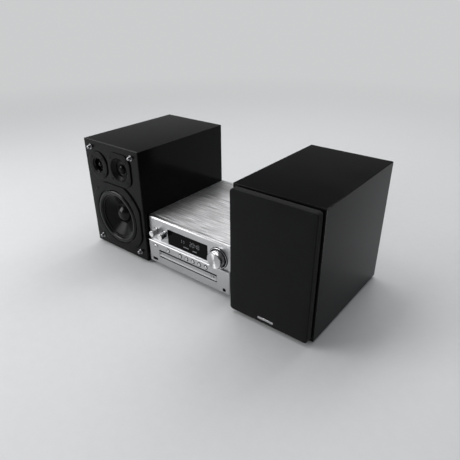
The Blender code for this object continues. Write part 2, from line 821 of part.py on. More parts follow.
def press_button(outline_of, stem, front):
    """A cap that fills its hole, a lip behind the fascia and a stem towards its switch."""
    cap = outline_of(0)
    lip_y = LOW_INSIDE + SEAT_GAP
    return stack(
        "Y",
        (front, outline_of(-BUTTON_EDGE)),
        (front + BUTTON_EDGE, cap),
        (lip_y, cap),
        (lip_y, outline_of(BUTTON_LIP)),
        (lip_y + BUTTON_LIP_T, outline_of(BUTTON_LIP)),
        (lip_y + BUTTON_LIP_T, stem),
        (STEM_END, stem),
    )


def slot_section(back):
    """What shows in the disc slot, cut across: a lower band that leans out, a top edge cut away behind."""
    face = LOW_FRONT + TRAY_LIP_LEAN
    return [
        (back, FRONT_LOW),
        (LOW_FRONT, FRONT_LOW),
        (face, FRONT_LOW + TRAY_LIP_H),
        (face, FRONT_HIGH - BUTTON_EDGE),
        (face + BUTTON_EDGE, FRONT_HIGH),
        (face + 2 * BUTTON_EDGE, FRONT_HIGH),
        (back, FRONT_HIGH - SLOT_TOP_GAP),
    ]


def build_buttons(unit):
    """The power button, the source button and the row of five, with their lips behind the fascia."""
    front = LOW_FRONT - BUTTON_PROUD
    stem = rounded(2 * STEM_R + POWER_W - POWER_H, 2 * STEM_R, STEM_R, (POWER_X, BUTTON_Z))
    power = press_button(power_outline, stem, front)
    part("power_button", power, unit, SILVER, (POWER_X, 0, BUTTON_Z))
    for name, x in {"source_button": SOURCE_X, **BUTTON_XS}.items():
        spot = (x, BUTTON_Z)
        round_cap = press_button(lambda grow: circle(BUTTON_R + grow, spot), circle(STEM_R, spot), front)
        part(name, round_cap, unit, SILVER, (x, 0, BUTTON_Z))

    back = LOW_INSIDE + BUTTON_LIP_T
    cap = prism("X", slot_section(back), OPEN_X - OPEN_W / 2, OPEN_X + OPEN_W / 2)
    stem = rounded(2 * STEM_R, 2 * STEM_R, STEM_R / 2, (OPEN_X, OPEN_Z))
    body = join(cap, prism("Y", stem, back - JOIN, STEM_END))
    part("open_close_button", body, unit, SILVER, (OPEN_X, 0, OPEN_Z))


def build_front_board(unit):
    """The board behind the fascia, with a switch behind each button and the knobs' controls."""
    half = UNIT_W / 2 - FASCIA_WALL - BOARD_MARGIN
    low = STEP_Z - FASCIA_WALL - 2 * BOARD_MARGIN
    drop = SLOT_Z - SLOT_H / 2
    tab = OPEN_X - OPEN_W / 2 + BOARD_MARGIN / 2
    high = UNIT_TOP - FASCIA_WALL - BOARD_MARGIN / 2
    outline = [(-half, low), (tab, low), (tab, drop), (half, drop), (half, high), (-half, high)]
    board = prism("Y", outline, BOARD_Y, BOARD_BACK)
    spots = [(x, BUTTON_Z) for x in (POWER_X, SOURCE_X, *BUTTON_XS.values())] + [(OPEN_X, OPEN_Z)]
    switches = [
        prism("Y", rounded_square(SWITCH_SIDE, SWITCH_SIDE, spot), BOARD_Y - SWITCH_T, BOARD_Y + JOIN)
        for spot in spots
    ]
    controls = [(x, TONE_Z) for x in tone_xs()] + [(VOLUME_X, VOLUME_Z)]
    pots = [
        prism("Y", rounded(POT_SIDE, POT_SIDE, POT_SIDE / 5, spot), POT_FRONT, BOARD_Y + JOIN)
        for spot in controls
    ]
    part("front_board", join(board, *switches, *pots), unit, BOARD_GREEN)


def tooth_rows(half):
    """(height from the pitch line, half width) of a tooth from root to tip."""
    tall, deep = ADDENDUM * GEAR_MODULE, DEDENDUM * GEAR_MODULE
    return [(-deep, half + deep * TOOTH_SLOPE / 2), (0, half), (tall, half - tall * TOOTH_SLOPE)]


def gear_outline():
    """A pinion's teeth, with a gap facing +X where the rack's tooth stands."""
    points = []
    half = TOOTH_SHARE * math.pi * GEAR_MODULE / 2
    rows = tooth_rows(half)
    for tooth in range(GEAR_TEETH):
        middle = 2 * math.pi * (tooth + 0.5) / GEAR_TEETH
        for side, ordered in ((-1, rows), (1, rows[::-1])):
            for height, width in ordered:
                radius = GEAR_R + height
                turn = middle + side * width / radius
                points.append((GEAR_X + radius * math.cos(turn), GEAR_Y + radius * math.sin(turn)))
    return points


def rack_outline():
    """The toothed bar under the tray's right runner, teeth facing -X, one tooth level with the pinion."""
    pitch = math.pi * GEAR_MODULE
    half = TOOTH_SHARE * pitch / 2
    rows = tooth_rows(half)
    first = -int((GEAR_Y - TRAY_START - TRAY_FRONT_RIM) / pitch)
    last = int((TRAY_END - GEAR_Y - TRAY_RIM) / pitch)
    back = RACK_X + DEDENDUM * GEAR_MODULE + RACK_BACK
    points = [(back, GEAR_Y + (first - 0.5) * pitch)]
    points.append((RACK_X + DEDENDUM * GEAR_MODULE, GEAR_Y + (first - 0.5) * pitch))
    for tooth in range(first, last + 1):
        y = GEAR_Y + tooth * pitch
        for side, ordered in ((-1, (rows[0], rows[2])), (1, (rows[2], rows[0]))):
            points += [(RACK_X - height, y + side * width) for height, width in ordered]
    points.append((RACK_X + DEDENDUM * GEAR_MODULE, GEAR_Y + (last + 0.5) * pitch))
    points.append((back, GEAR_Y + (last + 0.5) * pitch))
    return points


def build_tray(unit):
    """The disc tray with its recess, open slot and rack, and the front that closes the disc slot."""
    left, right = TRAY_X - TRAY_W / 2, TRAY_X + TRAY_W / 2
    plate = box((left, TRAY_START, TRAY_BOTTOM), (right, TRAY_END, TRAY_TOP))
    recess = rod(
        DISC_R + DISC_PLAY, "Z", (TRAY_X, DISC_Y), DISC_Z, TRAY_TOP + CUT_OVER, WOOFER_SIDES
    )
    half = TRAY_SLOT_W / 2
    slot = (
        [(TRAY_X + half, TRAY_END + CUT_OVER), (TRAY_X - half, TRAY_END + CUT_OVER)]
        + arc((TRAY_X, DISC_Y), half, 180, 360, 8)
    )
    slot = prism("Z", slot, TRAY_BOTTOM - CUT_OVER, TRAY_TOP + CUT_OVER)
    between = box(
        (left + TRAY_RIM + 0.014, DISC_Y + DISC_R * 0.72, TRAY_BOTTOM - CUT_OVER),
        (right - TRAY_RIM - 0.014, TRAY_END + CUT_OVER, TRAY_TOP + CUT_OVER),
    )
    rack = prism("Z", rack_outline(), TRAY_BOTTOM - GEAR_T - RUN_GAP, TRAY_BOTTOM + JOIN)
    part("disc_tray", join(cut(plate, recess, slot, between), rack), unit, GREY_PLASTIC)

    section = slot_section(LOW_FRONT + TRAY_FRONT_T)
    half = TRAY_FRONT_W / 2
    part("tray_front", prism("X", section, TRAY_X - half, TRAY_X + half), unit, SILVER)

    low = FRAME_TOP + SEAT_GAP
    gear = prism("Z", gear_outline(), GEAR_TOP - GEAR_T, GEAR_TOP)
    hub = rod(GEAR_HUB_R, "Z", (GEAR_X, GEAR_Y), low, GEAR_TOP - GEAR_T + JOIN)
    bore = rod(GEAR_PIN_R + SEAT_GAP, "Z", (GEAR_X, GEAR_Y), low - CUT_OVER, GEAR_TOP + CUT_OVER)
    part("tray_gear", cut(join(gear, hub), bore), unit, GREY_PLASTIC, (GEAR_X, GEAR_Y, GEAR_TOP))


def build_loader(unit):
    """The loader's frame with rails, legs, rods and motor, and what runs in it."""
    outer = FRAME_IN + FRAME_WALL
    floor = box((TRAY_X - outer, FRAME_START, FRAME_BOTTOM), (TRAY_X + outer, FRAME_END, FRAME_TOP))
    pieces = []
    for side in (-1, 1):
        near, far = sorted((TRAY_X + side * FRAME_IN, TRAY_X + side * outer))
        pieces.append(box((near, FRAME_START, FRAME_BOTTOM), (far, FRAME_END, WALL_TOP)))
        near, far = sorted((TRAY_X + side * (FRAME_IN - FRAME_LEDGE), TRAY_X + side * (outer - JOIN)))
        ledge_top = TRAY_BOTTOM - SEAT_GAP
        pieces.append(box((near, FRAME_START, ledge_top - FRAME_WALL), (far, FRAME_END, ledge_top)))
        for y in (FRAME_START + FRAME_LEG, FRAME_END - FRAME_LEG):
            middle = TRAY_X + side * (outer - FRAME_LEG)
            pieces.append(
                rod(FRAME_LEG / 2, "Z", (middle, y), FLOOR_TOP + SEAT_GAP, FRAME_BOTTOM + JOIN)
            )
        rod_x = TRAY_X + side * ROD_X
        start = DISC_Y - TURNTABLE_R + ROD_BLOCK / 2
        end = SLED_Y + SLED_TRAVEL + SLED_L / 2 + ROD_BLOCK / 2 + RUN_GAP
        pieces.append(rod(ROD_R, "Y", (rod_x, ROD_Z), start, end))
        for y in (start, end):
            pieces.append(
                box(
                    (rod_x - ROD_BLOCK / 2, y - ROD_BLOCK / 2, FRAME_TOP - JOIN),
                    (rod_x + ROD_BLOCK / 2, y + ROD_BLOCK / 2, ROD_Z + ROD_BLOCK / 2),
                )
            )
    motor_top = FRAME_TOP + MOTOR_H
    pieces.append(rod(MOTOR_R, "Z", (TRAY_X, DISC_Y), FRAME_TOP - JOIN, motor_top, KNOB_SIDES))
    pieces.append(rod(GEAR_PIN_R, "Z", (GEAR_X, GEAR_Y), FRAME_TOP - JOIN, GEAR_TOP))
    socket = rod(AXLE_R + SEAT_GAP, "Z", (TRAY_X, DISC_Y), FRAME_TOP, motor_top + CUT_OVER)
    part("loader_frame", cut(join(floor, *pieces), socket), unit, GREY_PLASTIC)

    plate_low = DISC_Z + SEAT_GAP - TURNTABLE_T
    profile = [
        (0, FRAME_TOP + SEAT_GAP),
        (AXLE_R, FRAME_TOP + SEAT_GAP),
        (AXLE_R, motor_top + SEAT_GAP),
        (AXLE_R * 4, motor_top + SEAT_GAP),
        (AXLE_R * 4, plate_low),
        (TURNTABLE_R, plate_low),
        (TURNTABLE_R, plate_low + TURNTABLE_T),
        (SPINDLE_R, plate_low + TURNTABLE_T),
        (SPINDLE_R * 0.7, plate_low + TURNTABLE_T + SPINDLE_H),
        (0, plate_low + TURNTABLE_T + SPINDLE_H),
    ]
    pivot = (TRAY_X, DISC_Y, plate_low)
    part("turntable", turned(profile, "Z", (TRAY_X, DISC_Y), KNOB_SIDES), unit, RUBBER, pivot)

    sled_low = FRAME_TOP + 4 * SEAT_GAP
    sled = box(
        (TRAY_X - SLED_HALF_W, SLED_Y - SLED_L / 2, sled_low),
        (TRAY_X + SLED_HALF_W, SLED_Y + SLED_L / 2, sled_low + SLED_H),
    )
    lens = rod(
        LENS_R, "Z", (TRAY_X, SLED_Y - SLED_L / 5), sled_low + SLED_H - JOIN, sled_low + SLED_H + LENS_H
    )
    bores = [
        rod(
            ROD_R + SEAT_GAP,
            "Y",
            (TRAY_X + side * ROD_X, ROD_Z),
            SLED_Y - SLED_L / 2 - CUT_OVER,
            SLED_Y + SLED_L / 2 + CUT_OVER,
        )
        for side in (-1, 1)
    ]
    part("pickup_sled", cut(join(sled, lens), *bores), unit, SATIN_BLACK, (TRAY_X, SLED_Y, ROD_Z))

    low = WALL_TOP + SEAT_GAP
    bridge = box(
        (TRAY_X - outer, DISC_Y - CLAMP_W / 2, low), (TRAY_X + outer, DISC_Y + CLAMP_W / 2, low + CLAMP_T)
    )
    puck = rod(
        CLAMP_R, "Z", (TRAY_X, DISC_Y), TRAY_TOP + SEAT_GAP, low + CLAMP_T + JOIN, KNOB_SIDES
    )
    part("disc_clamp", join(bridge, puck), unit, GREY_PLASTIC)


def build_inside(unit):
    """Main board on the chassis's standoffs, heat sink on the board, transformer on the chassis."""
    half = INNER_X - SHEET_T - MAIN_BOARD_MARGIN
    end = REAR_INSIDE - MAIN_BOARD_END_GAP
    top = MAIN_BOARD_Z + BOARD_T
    board = box((-half, MAIN_BOARD_START, MAIN_BOARD_Z), (half, end, top))
    middle = (MAIN_BOARD_START + end) / 2
    fitted = [
        rod(CAPACITOR_R, "Z", (x, middle - 2 * CAPACITOR_R), top - JOIN, top + CAPACITOR_H)
        for x in (half - 2 * CAPACITOR_R, half - 5 * CAPACITOR_R)
    ]
    fitted += [
        box((x, y, top - JOIN), (x + CHIP_SIDE, y + CHIP_SIDE, top + CHIP_T))
        for x, y in (
            (-half + CHIP_SIDE, middle - 2 * CHIP_SIDE),
            (-half + 4 * CHIP_SIDE, middle - 3 * CHIP_SIDE),
            (-half + 2 * CHIP_SIDE, middle),
        )
    ]
    part("main_board", join(board, *fitted), unit, BOARD_GREEN)

    low = top + SEAT_GAP
    gap = (SINK_W - SINK_FIN_T) / (SINK_FINS - 1)
    comb = [(-SINK_W / 2, low), (SINK_W / 2, low)]
    for fin in reversed(range(SINK_FINS)):
        left = -SINK_W / 2 + fin * gap
        comb += [(left + SINK_FIN_T, low + SINK_H), (left, low + SINK_H)]
        if fin:
            comb += [(left, low + SINK_BASE), (left - gap + SINK_FIN_T, low + SINK_BASE)]
    sink_y = end - SINK_D - STANDOFF_INSET
    part("heat_sink", prism("Y", comb, sink_y, sink_y + SINK_D), unit, ALUMINIUM)

    low = FLOOR_TOP + SEAT_GAP
    x, y = TRANSFORMER_X, REAR_INSIDE - SOCKET_IN - TRANSFORMER_GAP - CORE_D / 4 - COIL_OUT
    core = box((x - CORE_W / 2, y - CORE_D / 4, low), (x + CORE_W / 2, y + CORE_D / 4, low + CORE_H))
    coil = prism(
        "Y",
        rounded(COIL_W, CORE_H - 2 * COIL_OUT, COIL_OUT / 2, (x, low + CORE_H / 2)),
        y - CORE_D / 4 - COIL_OUT,
        y + CORE_D / 4 + COIL_OUT,
    )
    plate = box(
        (x - CORE_W / 2 - COIL_OUT, y - CORE_D / 4, low),
        (x + CORE_W / 2 + COIL_OUT, y + CORE_D / 4, low + SHEET_T),
    )
    part("power_transformer", join(core, coil, plate), unit, COPPER)


def socket_body(x, z, width, height, inner):
    """A socket's body through the rear panel, with a flange that overlaps the panel outside."""
    body = prism(
        "Y", rounded_square(width, height, (x, z)), REAR_INSIDE - inner, UNIT_D + SEAT_GAP + JOIN
    )
    edge = 0.0025
    outline = rounded(width + 2 * edge, height + 2 * edge, edge, (x, z))
    return join(body, prism("Y", outline, UNIT_D + SEAT_GAP, UNIT_D + SEAT_GAP + REAR_FLANGE_T))


def build_rear(unit):
    """Speaker terminals, audio jacks and mains inlet, each seated in its cut in the rear panel."""
    face = UNIT_D + SEAT_GAP + REAR_FLANGE_T
    tip = UNIT_D + TERMINAL_REACH
    knobs = []
    for i in range(4):
        spot = (TERMINAL_X + (i - 1.5) * TERMINAL_PITCH, TERMINAL_Z)
        profile = [
            (0, face - JOIN),
            (POST_KNOB_R * 0.6, face - JOIN),
            (POST_KNOB_R * 0.6, face + 0.0015),
            (POST_KNOB_R, face + 0.0015),
            (POST_KNOB_R, tip),
            (0, tip),
        ]
        knobs.append(turned(profile, "Y", spot, SMALL_SIDES))
    block = socket_body(TERMINAL_X, TERMINAL_Z, TERMINAL_W, TERMINAL_H, SOCKET_IN)
    part("speaker_terminals", join(block, *knobs), unit, SATIN_BLACK)

    spots = [(JACKS_X, JACKS_Z + i * JACK_PITCH) for i in (-1, 0, 1)]
    barrels = [rod(JACK_R, "Y", spot, face - JOIN, UNIT_D + JACK_REACH) for spot in spots]
    bores = [rod(JACK_BORE_R, "Y", spot, UNIT_D, UNIT_D + JACK_REACH + CUT_OVER) for spot in spots]
    block = socket_body(JACKS_X, JACKS_Z, JACKS_W, JACKS_H, SOCKET_IN)
    part("audio_jacks", cut(join(block, *barrels), *bores), unit, SATIN_BLACK)

    block = socket_body(INLET_X, INLET_Z, INLET_W, INLET_H, INLET_BODY_D)
    outline = rounded(INLET_MOUTH_W, INLET_MOUTH_H, INLET_MOUTH_H / 2 - 0.0004, (INLET_X, INLET_Z))
    mouth = prism("Y", outline, face - INLET_MOUTH_D, face + CUT_OVER)
    part("mains_inlet", cut(block, mouth), unit, SATIN_BLACK)


def build_front_sockets(unit):
    """The USB socket with its tongue and the headphone jack with its bore, in the fascia's lower wall."""
    spot = (USB_X, USB_Z)
    shell = prism("Y", rounded_square(USB_W, USB_H, spot), LOW_FRONT + SEAT_GAP, LOW_FRONT + USB_D)
    mouth = prism(
        "Y",
        rounded_square(USB_W - 2 * USB_SHELL, USB_H - 2 * USB_SHELL, spot),
        LOW_FRONT - CUT_OVER,
        LOW_FRONT + USB_D - 2 * USB_SHELL,
    )
    tongue = box(
        (USB_X - USB_W / 2 + 2 * USB_SHELL, LOW_FRONT + 3 * USB_SHELL, USB_Z + USB_SHELL / 2),
        (
            USB_X + USB_W / 2 - 2 * USB_SHELL,
            LOW_FRONT + USB_D - USB_SHELL,
            USB_Z + USB_SHELL / 2 + USB_TONGUE_T,
        ),
    )
    part("usb_socket", join(cut(shell, mouth), tongue), unit, STEEL)

    spot = (PHONES_X, PHONES_Z)
    start = LOW_INSIDE + SEAT_GAP
    body = prism("Y", rounded_square(PHONES_BODY, PHONES_BODY, spot), start, start + PHONES_D)
    barrel = rod(PHONES_R, "Y", spot, LOW_FRONT - SEAT_GAP, start + JOIN)
    bore = rod(PHONES_BORE_R, "Y", spot, LOW_FRONT - CUT_OVER, start + PHONES_D * 0.85)
    part("headphone_jack", cut(join(body, barrel), bore), unit, SATIN_BLACK)


# Speakers: levels and radii that several pieces share
CABINET_LOW = SPEAKER_FOOT
WOOFER_Z = CABINET_LOW + WOOFER_RISE
TWEETER_Z = WOOFER_Z + WOOFER_HALF_H + TWEETER_GAP + TWEETER_SIDE / 2
SUPER_Z = TWEETER_Z - SUPER_DROP
CABINET_TOP = TWEETER_Z + TWEETER_SIDE / 2 + TWEETER_TOP_MARGIN
CUP_Z = CABINET_LOW + CUP_RISE
CABINET_H = CABINET_TOP - CABINET_LOW
CABINET_MID = (CABINET_TOP + CABINET_LOW) / 2
POST_X = SPEAKER_W / 2 - POST_INSET_X
POST_ZS = (CABINET_LOW + POST_INSET_LOW, CABINET_TOP - POST_INSET_HIGH)
PLATE_BACK = -SEAT_GAP
PLATE_FRONT = PLATE_BACK - PLATE_T
NECK_R = WOOFER_OPEN_R + WOOFER_NECK
SEAT_R = WOOFER_OPEN_R - SEAT_W
BASKET_END = NECK_D + BASKET_D
COIL_BORE_R = COIL_R + COIL_GAP
CONE_BASE_Y = CONE_EDGE_Y + CONE_DEPTH
CAP_BALL = (CAP_R**2 + CAP_RISE**2) / (2 * CAP_RISE)
GRILLE_W = SPEAKER_W - 2 * GRILLE_MARGIN_X
GRILLE_H = CABINET_H - 2 * GRILLE_MARGIN_Z


def build_cabinet(unit, hand):
    """A five-sided box on four pads, open to the front, with a cut for the terminal cup."""
    edge = 2 * CABINET_EDGE
    outline = rounded(SPEAKER_W, CABINET_H, CABINET_EDGE, (0, CABINET_MID))
    rear = rounded(SPEAKER_W - edge, CABINET_H - edge, CABINET_EDGE, (0, CABINET_MID))
    inside = rounded_square(SPEAKER_W - 2 * CABINET_WALL, CABINET_H - 2 * CABINET_WALL, (0, CABINET_MID))
    start = BAFFLE_LIP + SEAT_GAP
    shell = stack("Y", (start, outline), (SPEAKER_D - CABINET_EDGE, outline), (SPEAKER_D, rear))
    hollow = prism("Y", inside, start - CUT_OVER, SPEAKER_D - CABINET_WALL)
    pads = [
        rod(SPEAKER_FOOT_R, "Z", (side * (SPEAKER_W / 2 - SPEAKER_FOOT_INSET), y), 0, CABINET_LOW + JOIN)
        for side in (-1, 1)
        for y in (start + SPEAKER_FOOT_INSET, SPEAKER_D - SPEAKER_FOOT_INSET)
    ]
    opening = rounded_square(CUP_W - 0.012, CUP_H - 0.012, (0, CUP_Z))
    opening = prism("Y", opening, SPEAKER_D - CABINET_WALL - CUT_OVER, SPEAKER_D + CUT_OVER)
    part(f"cabinet_{hand}", cut(join(cut(shell, hollow), *pads), opening), unit, SATIN_BLACK)


def build_baffle(unit, hand, mirror):
    """The front board: a lip over the cabinet's edges, a plug inside them, holes and grille posts."""
    chamfer = 2 * BAFFLE_CHAMFER
    plug_play = 2 * (CABINET_WALL + SEAT_GAP)
    lip = rounded(SPEAKER_W, CABINET_H, CABINET_EDGE, (0, CABINET_MID))
    face = rounded(SPEAKER_W - chamfer, CABINET_H - chamfer, CABINET_EDGE, (0, CABINET_MID))
    plug = rounded(SPEAKER_W - plug_play, CABINET_H - plug_play, CABINET_EDGE, (0, CABINET_MID))
    board = stack("Y", (0, face), (BAFFLE_CHAMFER, lip), (BAFFLE_LIP, lip), (BAFFLE_LIP, plug), (BAFFLE_T, plug))
    through = (-CUT_OVER, BAFFLE_T + CUT_OVER)
    holes = [
        rod(NECK_R + SEAT_GAP, "Y", (0, WOOFER_Z), *through, WOOFER_SIDES),
        rod(TWEETER_BODY_R + SEAT_GAP, "Y", (mirror * TWEETER_X, TWEETER_Z), *through, DRIVER_SIDES),
        rod(SUPER_BODY_R + SEAT_GAP, "Y", (mirror * SUPER_X, SUPER_Z), *through, DRIVER_SIDES),
    ]
    profile = [
        (0, JOIN),
        (POST_COLLAR_R, JOIN),
        (POST_COLLAR_R, -POST_COLLAR_T),
        (POST_NECK_R, -POST_COLLAR_T),
        (POST_HEAD_R, -POST_REACH + POST_HEAD_R),
        (POST_HEAD_R * 0.8, -POST_REACH + POST_HEAD_R * 0.25),
        (0, -POST_REACH),
    ]
    posts = [turned(profile, "Y", (side * POST_X, z), SMALL_SIDES) for side in (-1, 1) for z in POST_ZS]
    part(f"baffle_{hand}", join(cut(board, *holes), *posts), unit, GLOSS_BLACK)


def plate_outline(shrink):
    """The woofer's plate: a circle with its four sides cut flat."""
    points = []
    for u, v in circle(WOOFER_PLATE_R - shrink, (0, 0), 2 * DRIVER_SIDES):
        half_w, half_h = WOOFER_HALF_W - shrink, WOOFER_HALF_H - shrink
        points.append((max(-half_w, min(half_w, u)), WOOFER_Z + max(-half_h, min(half_h, v))))
    return points


def build_woofer(unit, hand):
    """Basket with plate and magnet, cone with dust cap and voice coil, and the roll that joins them."""
    centre = (0, WOOFER_Z)
    plate = stack(
        "Y",
        (PLATE_FRONT, plate_outline(PLATE_EDGE)),
        (PLATE_FRONT + PLATE_EDGE, plate_outline(0)),
        (PLATE_BACK, plate_outline(0)),
    )
    magnet_end = BASKET_END + MAGNET_T
    outer = [
        (0, PLATE_FRONT + PLATE_EDGE),
        (NECK_R, PLATE_FRONT + PLATE_EDGE),
        (NECK_R, NECK_D),
        (BASKET_END_R, BASKET_END - BASKET_WALL),
        (BASKET_END_R, BASKET_END),
        (MAGNET_R, BASKET_END),
        (MAGNET_R, magnet_end),
        (0, magnet_end),
    ]
    inner = [
        (0, PLATE_FRONT - CUT_OVER),
        (WOOFER_OPEN_R, PLATE_FRONT - CUT_OVER),
        (WOOFER_OPEN_R, SEAT_Y),
        (SEAT_R, SEAT_Y),
        (SEAT_R, NECK_D - BASKET_WALL),
        (BASKET_END_R - BASKET_WALL, BASKET_END - 2 * BASKET_WALL),
        (COIL_BORE_R, BASKET_END - 2 * BASKET_WALL),
        (COIL_BORE_R, magnet_end - MAGNET_T / 4),
        (0, magnet_end - MAGNET_T / 4),
    ]
    windows = []
    for i in range(BASKET_WINDOWS):
        middle = 2 * math.pi * (i + 0.5) / BASKET_WINDOWS
        spread = math.pi / BASKET_WINDOWS * WINDOW_SHARE
        wedge = []
        for radius, turn in ((1, -spread), (1, spread), (BASKET_END_R / NECK_R, spread),
                             (BASKET_END_R / NECK_R, -spread)):
            reach = radius * NECK_R
            wedge.append((reach * math.cos(middle + turn), WOOFER_Z + reach * math.sin(middle + turn)))
        windows.append(prism("Y", wedge, NECK_D + BASKET_WALL, BASKET_END - 3 * BASKET_WALL))
    basket = join(plate, turned(outer, "Y", centre, WOOFER_SIDES))
    basket = cut(basket, turned(inner, "Y", centre, WOOFER_SIDES), *windows)
    part(f"woofer_basket_{hand}", basket, unit, CHARCOAL)

    cap_middle = CONE_BASE_Y - CAP_RISE + CAP_BALL
    cap_turns = [math.asin(CAP_R / CAP_BALL) * i / 3 for i in range(4)]
    front = [(CAP_BALL * math.sin(t), cap_middle - CAP_BALL * math.cos(t)) for t in cap_turns]
    coil_in = COIL_R - COIL_T
    back_ball = CAP_BALL - CONE_T
    cone = front + [
        (CONE_R, CONE_EDGE_Y),
        (CONE_R, CONE_EDGE_Y + CONE_T),
        (CAP_R, CONE_BASE_Y + CONE_T * 1.2),
        (COIL_R, CONE_BASE_Y + CONE_T * 2),
        (COIL_R, CONE_BASE_Y + COIL_L),
        (coil_in, CONE_BASE_Y + COIL_L),
        (coil_in, cap_middle - math.sqrt(back_ball**2 - coil_in**2)),
        (0, cap_middle - back_ball),
    ]
    pivot = (0, CONE_EDGE_Y, WOOFER_Z)
    part(f"woofer_cone_{hand}", turned(cone, "Y", centre, WOOFER_SIDES), unit, CONE_BLACK, pivot)

    flange_y = SEAT_Y - SEAT_GAP - ROLL_T
    start, end = WOOFER_OPEN_R - ROLL_FLANGE, CONE_R + ROLL_LIP / 2
    middle, reach = (start + end) / 2, (start - end) / 2
    turns = [math.pi * i / ROLL_STEPS for i in range(ROLL_STEPS + 1)]
    over = [(middle + reach * math.cos(t), flange_y - ROLL_RISE * math.sin(t)) for t in turns]
    thin = reach - ROLL_T
    under = [(middle + thin * math.cos(t), flange_y + ROLL_T - ROLL_RISE * math.sin(t)) for t in turns[::-2]]
    lip_y = CONE_EDGE_Y - SEAT_GAP
    roll = (
        [(WOOFER_OPEN_R - SEAT_GAP, flange_y + ROLL_T), (WOOFER_OPEN_R - SEAT_GAP, flange_y)]
        + over
        + [(CONE_R - ROLL_LIP, lip_y - ROLL_T), (CONE_R - ROLL_LIP, lip_y)]
        + under
    )
    part(f"woofer_surround_{hand}", turned(roll, "Y", centre, WOOFER_SIDES), unit, RUBBER)


def build_tweeters(unit, hand, mirror):
    """The horn-loaded tweeter with its dome, and the round super tweeter with its bullet."""
    centre = (mirror * TWEETER_X, TWEETER_Z)
    inner_side = TWEETER_SIDE - 2 * PLATE_EDGE
    plate = stack(
        "Y",
        (PLATE_FRONT, rounded(inner_side, inner_side, TWEETER_CORNER - PLATE_EDGE, centre, 4)),
        (PLATE_FRONT + PLATE_EDGE, rounded(TWEETER_SIDE, TWEETER_SIDE, TWEETER_CORNER, centre, 4)),
        (PLATE_BACK, rounded(TWEETER_SIDE, TWEETER_SIDE, TWEETER_CORNER, centre, 4)),
    )
    chamber = rod(TWEETER_BODY_R, "Y", centre, PLATE_BACK - JOIN, TWEETER_BODY_D, DRIVER_SIDES)
    seat = HORN_DEPTH + DOME_RIM + SEAT_GAP
    flare = []
    for i in range(HORN_STEPS + 1):
        way = i / HORN_STEPS
        radius = HORN_R * (THROAT_R / HORN_R) ** (way**0.75)
        flare.append((radius, PLATE_FRONT + (HORN_DEPTH - PLATE_FRONT) * way**1.4))
    horn = [(0, PLATE_FRONT - CUT_OVER), (HORN_R, PLATE_FRONT - CUT_OVER)] + flare + [(THROAT_R, seat), (0, seat)]
    body = cut(join(plate, chamber), turned(horn, "Y", centre, DRIVER_SIDES))
    part(f"tweeter_horn_{hand}", body, unit, CHARCOAL)

    base = HORN_DEPTH + DOME_RIM
    rim = THROAT_R - SEAT_GAP
    turns = [math.pi / 2 * i / 3 for i in range(4)]
    dome = [(DOME_R * math.sin(t), HORN_DEPTH - DOME_RISE * math.cos(t)) for t in turns]
    dome += [(rim, HORN_DEPTH), (rim, base), (0, base)]
    part(f"tweeter_dome_{hand}", turned(dome, "Y", centre, DRIVER_SIDES), unit, GLOSS_BLACK)

    centre = (mirror * SUPER_X, SUPER_Z)
    bullet = [
        (BULLET_R * math.sin(t), SUPER_DEPTH - BULLET_RISE * math.cos(t)) for t in turns
    ]
    profile = bullet + [
        (SUPER_THROAT_R, SUPER_DEPTH),
        (SUPER_THROAT_R, SUPER_DEPTH / 3),
        (SUPER_MOUTH_R, PLATE_FRONT),
        (SUPER_R - PLATE_EDGE, PLATE_FRONT),
        (SUPER_R, PLATE_FRONT + PLATE_EDGE),
        (SUPER_R, PLATE_BACK),
        (SUPER_BODY_R, PLATE_BACK),
        (SUPER_BODY_R, SUPER_BODY_D),
        (0, SUPER_BODY_D),
    ]
    part(f"super_tweeter_{hand}", turned(profile, "Y", centre, DRIVER_SIDES), unit, CHARCOAL)


def build_terminal_cup(unit, hand):
    """The dished plate on the cabinet's back with its two binding posts."""
    face = SPEAKER_D + SEAT_GAP
    flange = prism("Y", rounded(CUP_W, CUP_H, CUP_WALL * 2, (0, CUP_Z)), face, face + CUP_WALL)
    well = prism(
        "Y",
        rounded_square(CUP_W - 0.012 - 2 * SEAT_GAP, CUP_H - 0.012 - 2 * SEAT_GAP, (0, CUP_Z)),
        face - CUP_DISH_D - CUP_WALL,
        face + JOIN,
    )
    dish = stack(
        "Y",
        (face - CUP_DISH_D, circle(CUP_DISH_R * 0.8, (0, CUP_Z), KNOB_SIDES)),
        (face + CUP_WALL + CUT_OVER, circle(CUP_DISH_R, (0, CUP_Z), KNOB_SIDES)),
    )
    posts = [
        rod(POST_KNOB_R, "Y", (side * CUP_POST_PITCH / 2, CUP_Z), face - CUP_DISH_D - JOIN,
            face - CUP_DISH_D + CUP_POST_L)
        for side in (-1, 1)
    ]
    part(f"terminal_cup_{hand}", join(cut(join(flange, well), dish), *posts), unit, SATIN_BLACK)


